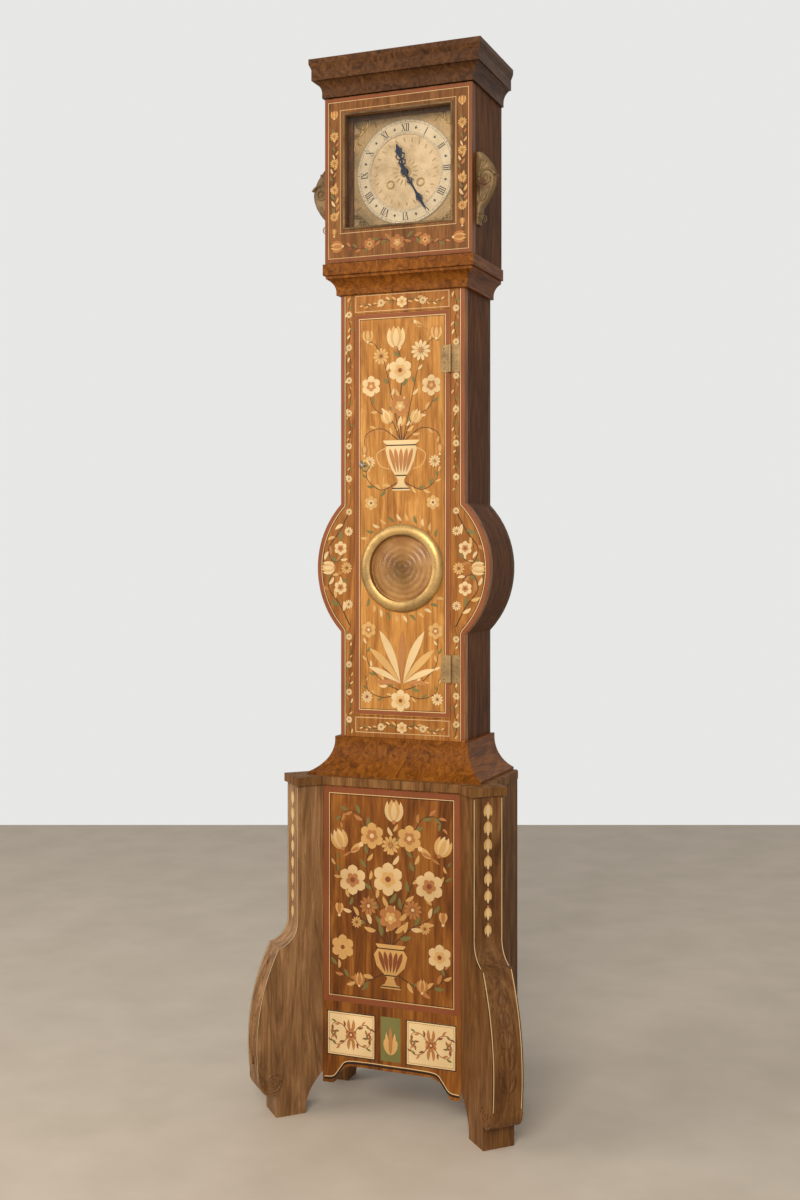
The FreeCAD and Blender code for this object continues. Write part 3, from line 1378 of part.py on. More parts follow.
def make_hammer():
    """The hammer: arbor, upright arm, round head by the bell's rim, and a tail near the wheel's pins."""
    head_x = s.hammer_spread - s.bell_radius - s.hammer_bell_gap
    head_rise = s.plate_rise + s.bell_clearance + s.hammer_head_radius - s.hammer_rise
    arm_y = -s.bell_setback.value
    arm = Part.makeCylinder(s.hammer_arm_radius.value, head_rise.value, Vector(0, arm_y, 0))
    head = Part.makeCylinder(s.hammer_head_radius.value, s.hammer_head_length.value,
                             Vector(head_x.value - s.hammer_head_length.value, arm_y, head_rise.value),
                             Vector(1, 0, 0))
    across = s.hammer_spread - s.pin_wheel_spread
    towards = Vector(across.value, 0, (s.pin_wheel_rise - s.hammer_rise).value)
    swept = s.pin_circle_radius + s.pin_radius + s.hammer_tail_gap + s.hammer_arm_radius
    span = towards.Length - swept.value
    tail_y = -(s.pin_wheel_setback + s.wheel_thickness + s.pin_length / 2).value
    tail = Part.makeCylinder(s.hammer_arm_radius.value, span, Vector(0, tail_y, 0), towards)
    movement_piece("hammer", [plate_arbor(), arm, head, tail], "hammer")


def make_pendulum():
    """The back cock, and the seconds pendulum with its spring, rod, nut and lens-shaped bob."""
    y_back = BACK - s.cock_setback
    y_face = y_back - s.cock_strap_thickness
    top = PENDULUM_AXIS + s.cock_rise
    bottom = top - s.cock_height
    strap = block((-s.cock_half_width, s.cock_half_width), (y_face, y_back), (bottom, top), "Strap")
    legs = []
    for side in (-1, 1):
        ends = in_order((s.cock_half_width - s.cock_leg_width) * side, s.cock_half_width * side)
        legs.append(block(ends, (BACK - BACK_PLATE, y_back), (bottom, top), "CockLeg"))
    half_block = s.cock_block_width / 2
    stud_bottom = top - s.cock_block_height
    stud = block((-half_block, half_block), (y_face - s.cock_block_depth, y_back), (stud_bottom, top), "Stud")
    keep(joined([strap, stud] + legs), "back_cock")
    pendulum_y = BACK - s.pendulum_setback
    half_width = s.suspension_width / 2
    half_thick = s.suspension_thickness / 2
    spring_top = stud_bottom - s.hanging_gap
    rod_top = spring_top - s.suspension_length
    spring = block((-half_width, half_width), (pendulum_y - half_thick, pendulum_y + half_thick),
                   (rod_top - s.pendulum_rod_radius, spring_top), "Spring")
    rod_bottom = BOB_HEIGHT - s.bob_radius - s.pendulum_tail
    shaft = rod(s.pendulum_rod_radius, (0, pendulum_y, rod_bottom), rod_top - rod_bottom)
    nut_top = BOB_HEIGHT - s.bob_radius
    nut = rod(s.rating_nut_radius, (0, pendulum_y, nut_top - s.rating_nut_height), s.rating_nut_height)
    keep(joined([spring, shaft, nut]), "pendulum_rod")
    half = s.bob_thickness / 2
    face = dome_radius(s.bob_radius, half - s.bob_edge / 2)
    lens = [
        (as_size(0), half),
        (as_size(0), -half, face, 1),
        (s.bob_radius, -s.bob_edge / 2),
        (s.bob_radius, s.bob_edge / 2, face, 1),
    ]
    disc_body = turned("XY_Plane", lens, 0, pendulum_y, BOB_HEIGHT, "Bob")
    channel = rod(s.pendulum_rod_radius + s.running_fit, (0, pendulum_y, nut_top - s.overrun),
                  s.bob_radius * 2 + s.overrun * 2)
    keep(cut(disc_body, [channel]), "pendulum_bob")


def make_seatboard():
    """The board across the cheeks that carries the movement, with holes for the lines."""
    holes = []
    for side in (-1, 1):
        holes.append((s.barrel_spread * side - s.barrel_line_radius, -LINE_SETBACK, s.line_hole_radius))
    outline = rectangle(-HALF_TRUNK, HALF_TRUNK, s.seatboard_clearance - DIAL_BACK, -s.seatboard_back)
    keep(plan_plate_of(SEAT_BOTTOM, SEAT_TOP, [outline], holes, name="Seat"), "seatboard")


def make_weights():
    """Two cased weights, each hung from a pulley in the loop of a gut line."""
    for side, name in ((1, "going"), (-1, "strike")):
        x = s.barrel_spread * side
        y = BACK - LINE_SETBACK
        z = s.pulley_rest_height
        half_pulley = s.pulley_width / 2
        strap_near = half_pulley + s.stirrup_gap
        strap_far = strap_near + s.stirrup_strap
        half_strap = s.stirrup_width / 2
        solids = []
        for low, high in ((-strap_far, -strap_near), (strap_near, strap_far)):
            solids.append(block((x - half_strap, x + half_strap), (y + low, y + high),
                                (z - s.stirrup_drop, z + half_strap), "Strap"))
        bridge_bottom = z - s.stirrup_drop - s.stirrup_bridge
        solids.append(block((x - half_strap, x + half_strap), (y - strap_far, y + strap_far),
                            (bridge_bottom, z - s.stirrup_drop), "Bridge"))
        solids.append(rod(s.pulley_pin_radius, (x, y + strap_far, z), strap_far * 2, "-Y", "PulleyPin"))
        weight_top = bridge_bottom - s.weight_stem_length
        solids.append(rod(s.weight_stem_radius, (x, y, weight_top), s.weight_stem_length, "Z", "Stem"))
        profile = [
            (as_size(0), as_size(0)),
            (as_size(0), -s.weight_length),
            (s.weight_radius - s.weight_edge, -s.weight_length, s.weight_edge, 1),
            (s.weight_radius, s.weight_edge - s.weight_length),
            (s.weight_radius, -s.weight_edge, s.weight_edge, 1),
            (s.weight_radius - s.weight_edge, as_size(0)),
        ]
        solids.append(turned("XZ_Plane", profile, x, y, weight_top, "Weight"))
        keep(joined(solids), name + "_weight")
        rim = PULLEY_RADIUS + s.pulley_rim
        half_groove = s.groove_width / 2
        bore = s.pulley_pin_radius + s.running_fit
        sheave = [
            (bore, -half_pulley), (rim, -half_pulley), (rim, -half_groove), (GROOVE_RADIUS, -half_groove),
            (GROOVE_RADIUS, half_groove), (rim, half_groove), (rim, half_pulley), (bore, half_pulley),
        ]
        keep(turned("XY_Plane", sheave, x, y, z, "Pulley"), name + "_pulley")
        make_line(side, name)


def make_line(side, name):
    """One gut line: down from the left of the barrel, half round the pulley and up to the seatboard."""
    radius = PULLEY_RADIUS.value
    middle = s.barrel_spread.value * side
    near = middle - radius
    far = middle + radius
    y = (BACK - LINE_SETBACK).value
    rest = s.pulley_rest_height.value
    start = Vector(near, y, (DIAL_HEIGHT - s.barrel_drop).value)
    low_near = Vector(near, y, rest)
    low_far = Vector(far, y, rest)
    end = Vector(far, y, SEAT_BOTTOM.value)
    path = Part.Wire([
        Part.LineSegment(start, low_near).toShape(),
        Part.Arc(low_near, Vector(middle, y, rest - radius), low_far).toShape(),
        Part.LineSegment(low_far, end).toShape(),
    ])
    section = Part.Wire(Part.makeCircle(s.line_radius.value, start, Vector(0, 0, 1)))
    tube = document.addObject("Part::Feature", "Line")
    tube.Shape = path.makePipeShell([section], True, False)
    expected = math.pi * s.line_radius.value ** 2 * path.Length
    if abs(tube.Shape.Volume - expected) > expected * 0.001:
        raise RuntimeError(name + "_line has the wrong volume")
    keep(tube, name + "_line")


make_backboard()
make_trunk_sides()
make_trunk_front()
make_mouldings()
make_base_panels()
make_base_boards()
make_front_legs()
make_back_feet()
make_seatboard()
make_trunk_door()
make_trunk_hinges()
make_lock()
make_hood()
make_hood_door()
make_consoles()
make_dial()
make_plates()
make_hands_and_motion_work()
make_going_train()
make_anchor()
make_striking_train()
make_bell()
make_hammer()
make_pendulum()
make_weights()

document.recompute()
for item in document.Objects:
    if "Invalid" in item.State or "Error" in item.State:
        raise RuntimeError(f"{item.Name} ({item.Label}) did not build: {item.State}")
for piece in parts:
    if piece.Shape.isNull() or not piece.Shape.isValid() or piece.Shape.Volume <= 0:
        raise RuntimeError(f"{piece.Label} has no valid shape")
os.makedirs("parts", exist_ok=True)
for piece in parts:
    piece.Shape.exportStep(f"parts/{piece.Label}.step")
print(len(parts), "pieces written")
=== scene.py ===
"""The looks of a tall case clock in floral marquetry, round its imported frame. Lengths are in millimetres."""
import math

import bmesh
import bpy
import numpy as np
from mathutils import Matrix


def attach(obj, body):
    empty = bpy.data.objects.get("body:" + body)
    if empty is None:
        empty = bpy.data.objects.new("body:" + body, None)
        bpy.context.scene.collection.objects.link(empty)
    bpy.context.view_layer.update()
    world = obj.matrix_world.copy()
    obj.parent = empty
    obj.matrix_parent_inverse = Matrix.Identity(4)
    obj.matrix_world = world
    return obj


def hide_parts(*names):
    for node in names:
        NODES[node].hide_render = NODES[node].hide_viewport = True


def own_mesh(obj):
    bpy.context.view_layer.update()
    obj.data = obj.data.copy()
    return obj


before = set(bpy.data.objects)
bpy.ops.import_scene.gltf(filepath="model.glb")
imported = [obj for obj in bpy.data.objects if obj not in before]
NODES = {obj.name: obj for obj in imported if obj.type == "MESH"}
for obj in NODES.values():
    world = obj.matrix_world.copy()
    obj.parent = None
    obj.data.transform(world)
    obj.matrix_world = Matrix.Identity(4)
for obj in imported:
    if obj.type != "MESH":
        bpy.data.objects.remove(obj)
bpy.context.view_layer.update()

MM = 0.001
DRAW = np.random.default_rng(1705)
UP = math.pi / 2
CIRCLE = 2 * math.pi

# Where the faces of the case stand, from the frame
TRUNK_FACE = -2.0
BASE_FACE = -67.0
HOOD_DOOR_FACE = -29.0
RING_FACE = 18.5
PLATE_FACE = 20.5
HOUR_HAND_FACE = 15.4
MINUTE_HAND_FACE = 11.4
BEZEL_FACE = -7.2
DIAL_HEIGHT = 2084.0
SWELLING_HEIGHT = 1200.0
SWELLING_RADIUS = 206.0
HALF_TRUNK = 148.0
HALF_BASE = 213.0
HALF_LEG = 36.0
PROUD_OF_LEG = 0.3
KNEE_HEIGHT = 157
DIAGONAL = math.sqrt(0.5)

# Left, right, low and high edges of the panels, and how wide the openings are
TRUNK_DOOR = (-113, 113, 873, 1767)
BASE_PANEL = (-160, 160, 245, 718)
HOOD_DOOR = (-174, 174, 1884.0, 2248.0)
HALF_SIGHT = 125
RESERVE = 94
KEYHOLE = (-88, 1430)
HINGES = (980.0, 1659.0)

# Woods of the marquetry, as places on the colour ramp of the veneers
HOLLY = 0.05
BOX = 0.20
PEAR = 0.35
ROSEWOOD = 0.50
STAINED = 0.65
WALNUT = 0.80
EBONY = 0.95


# Surfaces

def grid_faces(rows, columns, around=False):
    """Faces of a grid of rows by columns. around joins the last column to the first."""
    row = np.arange(rows - 1)[:, None]
    column = np.arange(columns if around else columns - 1)[None, :]
    following = (column + 1) % columns
    corners = [row * columns + column, (row + 1) * columns + column,
               (row + 1) * columns + following, row * columns + following]
    return np.stack([np.broadcast_to(c, (rows - 1, column.size)) for c in corners], -1).reshape(-1, 4)


def smooth_line(points, count):
    """A curve through points: between two, the cubic whose slopes are half the chord of their neighbours."""
    p = np.asarray(points, float)
    p = np.vstack([2 * p[0] - p[1], p, 2 * p[-1] - p[-2]])
    t = np.linspace(0, len(p) - 3 - 1e-9, count)
    i = t.astype(int)
    f = (t - i)[:, None]
    a, b, c, d = p[i], p[i + 1], p[i + 2], p[i + 3]
    return 0.5 * (2 * b + (c - a) * f + (2 * a - 5 * b + 4 * c - d) * f ** 2
                  + (3 * b - a - 3 * c + d) * f ** 3)


def merged(groups):
    """Several groups of points and faces as one."""
    points, faces, count = [], [], 0
    for some_points, some_faces in groups:
        points.append(some_points)
        faces.append(some_faces + count)
        count += len(some_points)
    return np.vstack(points), np.vstack(faces)


def mirrored(points, side=1, flip=1, height=0.0):
    """Places (x, z) turned over by two signs and raised by a height."""
    return np.array(points) * (side, flip) + (0, height)


def piece_of(name, groups, body, material, smooth=False, uv=None, values=None):
    """A piece from groups of points and four-cornered faces, closed where points meet, riding on a body."""
    points, faces = merged(groups)
    mesh = bpy.data.meshes.new(name)
    mesh.vertices.add(len(points))
    mesh.vertices.foreach_set("co", (points * MM).astype(np.float32).ravel())
    mesh.loops.add(faces.size)
    mesh.loops.foreach_set("vertex_index", faces.astype(np.int32).ravel())
    mesh.polygons.add(len(faces))
    mesh.polygons.foreach_set("loop_start", np.arange(0, faces.size, 4, dtype=np.int32))
    mesh.update(calc_edges=True)
    if uv is not None:
        layer = mesh.uv_layers.new(name="grain")
        layer.data.foreach_set("uv", uv[faces.ravel()].astype(np.float32).ravel())
    for label, column in (values or {}).items():
        attribute = mesh.attributes.new(label, "FLOAT", "POINT")
        attribute.data.foreach_set("value", column.astype(np.float32))
    form = bmesh.new()
    form.from_mesh(mesh)
    bmesh.ops.remove_doubles(form, verts=form.verts, dist=2e-6)
    bmesh.ops.dissolve_degenerate(form, edges=form.edges, dist=1e-7)
    bmesh.ops.recalc_face_normals(form, faces=form.faces)
    form.to_mesh(mesh)
    form.free()
    mesh.polygons.foreach_set("use_smooth", np.full(len(mesh.polygons), smooth))
    mesh.materials.append(material)
    piece = bpy.data.objects.new(name, mesh)
    bpy.context.scene.collection.objects.link(piece)
    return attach(piece, body)


def tube(path, radius, sides=10):
    """A round rod along a path: a circle set square to the path at each point, shut at both ends."""
    path = np.asarray(path, float)
    radius = np.broadcast_to(np.asarray(radius, float), (len(path),)).copy()
    along = np.gradient(path, axis=0)
    along /= np.linalg.norm(along, axis=1)[:, None]
    guide = np.array([0.0, 0.0, 1.0]) if abs(along[:, 2]).mean() < 0.8 else np.array([1.0, 0.0, 0.0])
    first = np.cross(along, guide)
    first /= np.linalg.norm(first, axis=1)[:, None]
    second = np.cross(along, first)
    angle = np.linspace(0, CIRCLE, sides, endpoint=False)
    ring = first[:, None] * np.cos(angle)[None, :, None] + second[:, None] * np.sin(angle)[None, :, None]
    path = np.vstack([path[:1], path, path[-1:]])
    ring = np.concatenate([ring[:1], ring, ring[-1:]])
    radius = np.concatenate([[0], radius, [0]])
    points = path[:, None] + ring * radius[:, None, None]
    return points.reshape(-1, 3), grid_faces(len(path), sides, True)


def lathe(profile, centre, sides=64):
    """A turned ring or knob on the Y axis: each point (radius, depth) of the profile runs round a circle."""
    profile = np.asarray(profile, float)
    angle = np.linspace(0, CIRCLE, sides, endpoint=False)
    x = centre[0] + profile[:, 0, None] * np.cos(angle)
    z = centre[2] + profile[:, 0, None] * np.sin(angle)
    y = np.broadcast_to(centre[1] + profile[:, 1, None], x.shape)
    return np.stack([x, y, z], -1).reshape(-1, 3), grid_faces(len(profile), sides, True)


def mitred_frame(x_low, x_high, z_low, z_high, profile, face):
    """A moulding round a rectangle: each point (inset, depth) of the profile runs round it, mitred."""
    profile = np.asarray(profile, float)
    corner = np.array([(x_low, z_low), (x_high, z_low), (x_high, z_high), (x_low, z_high)], float)
    inward = np.array([(1, 1), (-1, 1), (-1, -1), (1, -1)], float)
    flat = corner[:, None] + inward[:, None] * profile[None, :, 0, None]
    depth = np.broadcast_to(face + profile[:, 1], flat.shape[:2])
    points = np.stack([flat[..., 0], depth, flat[..., 1]], -1)
    points = np.concatenate([points, points[:1]])
    return points.reshape(-1, 3), grid_faces(5, len(profile), True)


# Panels of marquetry

def front_of(face, height=0.0):
    """A placing on an upright plane that faces forward, with x across and z up from a height."""
    def lay(x, z, rise):
        return np.stack([x, np.broadcast_to(face - rise, x.shape), z + height], -1)
    return lay


def leg_reach(z):
    """How far a diagonal leg stands out at each height: post, then hollow, knee, calf and volute as arcs."""
    def arc(middle, radius, height, way=1):
        return middle + way * np.sqrt(np.clip(radius ** 2 - (z - height) ** 2, 0, None))

    post = np.full_like(z, 22.0)
    hollow = arc(73.7, 52.0, 419.1, -1)
    knee = arc(-356.2, 470.2, KNEE_HEIGHT)
    calf = arc(-518.1, 632.1, KNEE_HEIGHT)
    volute = arc(78.6, 32.0, 79.9)
    return np.select([z > 425, z > 368, z > KNEE_HEIGHT, z > 86], [post, hollow, knee, calf], volute)


def leg_point(side, reach, across, z):
    """A point of a diagonal leg from how far it stands out and its place across the leg's face."""
    x = HALF_BASE + (reach + across) * DIAGONAL
    y = BASE_FACE + (across - reach) * DIAGONAL
    return np.stack([side * x, y, np.broadcast_to(z, x.shape)], -1)


def front_of_leg(side):
    """A placing on the curved front face of a diagonal leg, with the place across it and the height."""
    def lay(across, z, rise):
        return leg_point(side, leg_reach(z) + rise + PROUD_OF_LEG, across, z)
    return lay


FLAT_SECTION = ((-1.0, -0.94, 0.94, 1.0), (-1.0, 1.0, 1.0, -1.0))
ROUND_SECTION = ((-1.0, -0.82, -0.4, 0.0, 0.4, 0.82, 1.0), (-0.6, 0.45, 0.88, 1.0, 0.88, 0.45, -0.6))
VEINED_SECTION = ((-1.0, -0.8, -0.35, -0.08, 0.0, 0.08, 0.35, 0.8, 1.0),
        (-0.6, 0.35, 0.8, 0.72, 1.0, 0.72, 0.8, 0.35, -0.6))


TALL_URN = ((0.0, 0.52), (0.05, 0.55), (0.1, 0.3), (0.2, 0.16), (0.26, 0.26), (0.4, 0.55), (0.6, 0.8),
        (0.82, 0.96), (0.92, 0.88), (0.96, 1.06), (1.0, 1.1))
LOW_URN = ((0.0, 0.6), (0.05, 0.62), (0.1, 0.35), (0.24, 0.2), (0.33, 0.42), (0.5, 0.85), (0.75, 1.0),
        (0.91, 0.74), (0.96, 0.86), (1.0, 0.9))


class Panel:
    """Ribbons laid on one surface: veneers of marquetry, strokes on a dial, or leaves of a carving."""

    def __init__(self, lay, rise=0.22, section=FLAT_SECTION):
        self.lay = lay
        self.rise = rise
        self.section = section
        self.points, self.faces, self.uv, self.wood, self.burn = [], [], [], [], []
        self.count = 0

    def ribbon(self, centre, half, wood=HOLLY, burn=(0.0, 0.0), lift=0.0, rise=None):
        """A strip about a centre line, closed at its ends: half width and section give each row of points."""
        centre = np.asarray(centre, float)
        half = np.broadcast_to(np.asarray(half, float), (len(centre),))
        along = np.gradient(centre, axis=0)
        along /= np.maximum(np.linalg.norm(along, axis=1), 1e-9)[:, None]
        square = np.stack([-along[:, 1], along[:, 0]], -1)
        centre = np.vstack([centre[:1], centre, centre[-1:]])
        square = np.vstack([square[:1], square, square[-1:]])
        half = np.concatenate([[0], half, [0]])
        offset, height = (np.array(row) for row in self.section)
        lift = lift + 0.01 * (len(self.points) % 12)
        flat = centre[:, None] + square[:, None] * half[:, None, None] * offset[None, :, None]
        top = self.rise if rise is None else rise
        level = np.broadcast_to(height * top + np.where(height > 0, lift, 0), flat.shape[:2])
        points = self.lay(flat[..., 0], flat[..., 1], level).reshape(-1, 3)
        run = np.concatenate([[0], np.cumsum(np.linalg.norm(np.diff(centre, axis=0), axis=1))])
        seed = DRAW.uniform(0, 500, 2)
        uv = np.stack(np.broadcast_arrays(run[:, None] + seed[0], offset * half[:, None] + seed[1]), -1)
        share = np.linspace(0, 1, len(centre))
        scorch = burn[0] + (burn[1] - burn[0]) * share
        self.points.append(points)
        self.faces.append(grid_faces(len(centre), len(offset), True) + self.count)
        self.uv.append(uv.reshape(-1, 2))
        self.wood.append(np.full(len(points), wood))
        self.burn.append(np.repeat(scorch, len(offset)))
        self.count += len(points)

    def leaf(self, root, angle, length, width, wood, bend=0.0, widest=0.45, fullness=0.8, burn=(0.75, 0.0),
            lift=0.0, stations=9):
        """A leaf or petal: its line turns evenly by bend, and its width is a sine with its peak at widest."""
        t = np.linspace(0, 1, stations)
        turn = angle + bend * t
        step = np.stack([np.cos(turn), np.sin(turn)], -1) * length / (stations - 1)
        centre = np.asarray(root, float) + np.vstack([[0, 0], np.cumsum((step[1:] + step[:-1]) / 2, axis=0)])
        power = math.log(0.5) / math.log(widest)
        half = width / 2 * np.sin(np.pi * t ** power).clip(0) ** fullness
        self.ribbon(centre, half, wood, burn, lift)

    def disc(self, centre, radius, wood, burn=(0.0, 0.0), lift=0.0):
        """A round spot."""
        start = (centre[0] - radius, centre[1])
        self.leaf(start, 0.0, 2 * radius, 2 * radius, wood, widest=0.5, fullness=0.5, burn=burn, lift=lift)

    def stem(self, points, width, wood, count=24, taper=0.4, lift=0.0):
        """A stem along a smooth line that thins towards its tip."""
        line = smooth_line(points, count)
        self.ribbon(line, np.linspace(width / 2, width / 2 * taper, count), wood, lift=lift)
        return line

    def spray(self, points, width=2.2, leaves=6, size=20.0, woods=(STAINED, BOX), stem_wood=WALNUT,
            start=0.15, lift=0.0):
        """A stem with leaves on alternate sides."""
        line = self.stem(points, width, stem_wood, 30, lift=lift)
        heading = np.arctan2(*np.gradient(line, axis=0).T[::-1])
        for number in range(leaves):
            place = int((start + (0.93 - start) * number / max(leaves - 1, 1)) * (len(line) - 1))
            side = 1 if number % 2 else -1
            length = size * (1.0 - 0.35 * number / leaves) * DRAW.uniform(0.9, 1.1)
            self.leaf(line[place], heading[place] + side * 0.95, length, length * 0.36,
                    woods[number % len(woods)], bend=-side * 0.8, burn=(0.55, 0.0), lift=lift)

    def flower(self, kind, centre, size, woods, angle=UP):
        """A rose, tulip, daisy or bell in veneers scorched darker towards its middle."""
        centre = np.asarray(centre, float)
        outer, inner, heart = woods
        if kind == "tulip":
            root = centre - 0.5 * size * np.array([math.cos(angle), math.sin(angle)])
            for turn, bend in ((-0.85, 1.05), (0.85, -1.05)):
                self.leaf(root, angle + turn, size, size * 0.34, outer, bend=bend, widest=0.42, fullness=0.95,
                        lift=0.13, burn=(0.5, 0.0))
            for turn, bend in ((-0.4, 0.62), (0.4, -0.62)):
                self.leaf(root, angle + turn, size * 1.02, size * 0.3, inner, bend=bend, widest=0.5,
                        lift=0.27, burn=(0.6, 0.0))
            self.leaf(root, angle, size * 0.9, size * 0.3, outer, widest=0.5, fullness=0.9, lift=0.41,
                    burn=(0.5, 0.0))
            self.disc(root, size * 0.1, heart, lift=0.55)
            return
        if kind == "bell":
            root = centre + 0.5 * size * np.array([math.cos(angle), math.sin(angle)])
            for turn in (-0.42, 0.42, 0.0):
                self.leaf(root, angle + math.pi + turn, size, size * 0.36, outer if turn else inner,
                        bend=-turn, widest=0.62, lift=0.13 if turn else 0.27, burn=(0.6, 0.0))
            self.disc(root, size * 0.13, heart, lift=0.41)
            return
        petals, fullness, width = {"rose": (6, 0.62, 0.86), "daisy": (11, 0.75, 0.4)}[kind]
        for number in range(petals):
            turn = angle + CIRCLE * number / petals
            root = centre + 0.08 * size * np.array([math.cos(turn), math.sin(turn)])
            self.leaf(root, turn, size * 0.46, size * 0.46 * width, outer, widest=0.62, fullness=fullness,
                    burn=(0.7, 0.0), lift=0.13)
        if kind == "rose":
            for number in range(5):
                turn = angle + CIRCLE * (number + 0.5) / 5
                self.leaf(centre, turn, size * 0.27, size * 0.22, inner, widest=0.62, fullness=0.6, lift=0.27,
                        burn=(0.6, 0.0))
        self.disc(centre, size * 0.1, heart, lift=0.41)

    def urn(self, middle, foot, height, half_width, wood, lobe_wood, outline):
        """A vase whose half width is read from an outline, with upright lobes and dark lines."""
        share, width = np.array(outline).T
        line = np.stack([np.full(60, middle), foot + height * np.linspace(0, 1, 60)], -1)
        self.ribbon(line, half_width * np.interp(np.linspace(0, 1, 60), share, width), wood, burn=(0.35, 0.0),
                lift=0.13)
        for place in (-0.72, -0.37, 0.0, 0.37, 0.72):
            root = (middle + place * half_width * 0.42, foot + height * 0.36)
            tip = (middle + place * half_width * 0.95, foot + height * 0.84)
            reach = math.hypot(tip[0] - root[0], tip[1] - root[1])
            angle = math.atan2(tip[1] - root[1], tip[0] - root[0])
            self.leaf(root, angle, reach, half_width * 0.25, lobe_wood, widest=0.62, fullness=0.6, lift=0.27,
                    burn=(0.7, 0.0))
        for level in (0.045, 0.3, 0.9):
            reach = half_width * float(np.interp(level, share, width)) - 0.6
            self.ribbon([(middle - reach, foot + height * level), (middle, foot + height * level),
                    (middle + reach, foot + height * level)], height * 0.012, EBONY, lift=0.41)

    def box_line(self, x_low, x_high, z_low, z_high, width, wood, lift=0.0):
        """A rectangle of stringing or banding."""
        inset = width / 2
        for x in (x_low + inset, x_high - inset):
            self.ribbon([(x, z_low), (x, (z_low + z_high) / 2), (x, z_high)], inset, wood, lift=lift)
        for z in (z_low + inset, z_high - inset):
            self.ribbon([(x_low + width, z), ((x_low + x_high) / 2, z), (x_high - width, z)], inset, wood,
                    lift=lift)

    def border(self, box, *lines):
        """Lines round a rectangle, each given by its inset, width and wood."""
        for inset, width, wood in lines:
            self.box_line(box[0] + inset, box[1] - inset, box[2] + inset, box[3] - inset, width, wood)

    def lay_out(self, side, *rows):
        """Flowers (kind, place, size, woods) and sprays (points, leaves, size, woods, width), x mirrored."""
        for first, second, size, woods, *more in rows:
            if isinstance(first, str):
                self.flower(first, mirrored(second, side), size, woods, *more)
            else:
                self.spray(mirrored(first, side), *more, leaves=second, size=size, woods=woods)

    def bird(self, centre, size, facing, woods=(BOX, PEAR, HOLLY)):
        """A small perching bird of five veneers."""
        x, z = centre
        body, wing, breast = woods
        tilt = 0.55 if facing > 0 else math.pi - 0.55
        self.leaf((x - facing * size * 0.85, z - size * 0.5), tilt, size * 0.65, size * 0.15, wing, lift=0.13,
                burn=(0.1, 0.6))
        self.leaf((x - facing * size * 0.35, z - size * 0.2), tilt, size * 0.86, size * 0.4, body,
                bend=facing * 0.35, widest=0.52, fullness=0.6, burn=(0.4, 0.0), lift=0.27)
        self.leaf((x + facing * size * 0.2, z + size * 0.1), tilt + math.pi - facing * 0.12, size * 0.62,
                size * 0.2, wing, widest=0.35, burn=(0.0, 0.7), lift=0.41)
        self.disc((x + facing * size * 0.33, z + size * 0.3), size * 0.15, breast, lift=0.55)
        self.leaf((x + facing * size * 0.44, z + size * 0.32), 0.0 if facing > 0 else math.pi, size * 0.2,
                size * 0.07, ROSEWOOD, widest=0.25, lift=0.41)

    def group(self):
        """All points and faces of the panel."""
        return np.vstack(self.points), np.vstack(self.faces)

    def piece(self, name, body, slot, material, smooth=False):
        """All ribbons of the panel as one piece."""
        values = {"wood": np.concatenate(self.wood), "burn": np.concatenate(self.burn)}
        return piece_of(name, [self.group()], body, material, smooth, np.vstack(self.uv), values)


# Materials

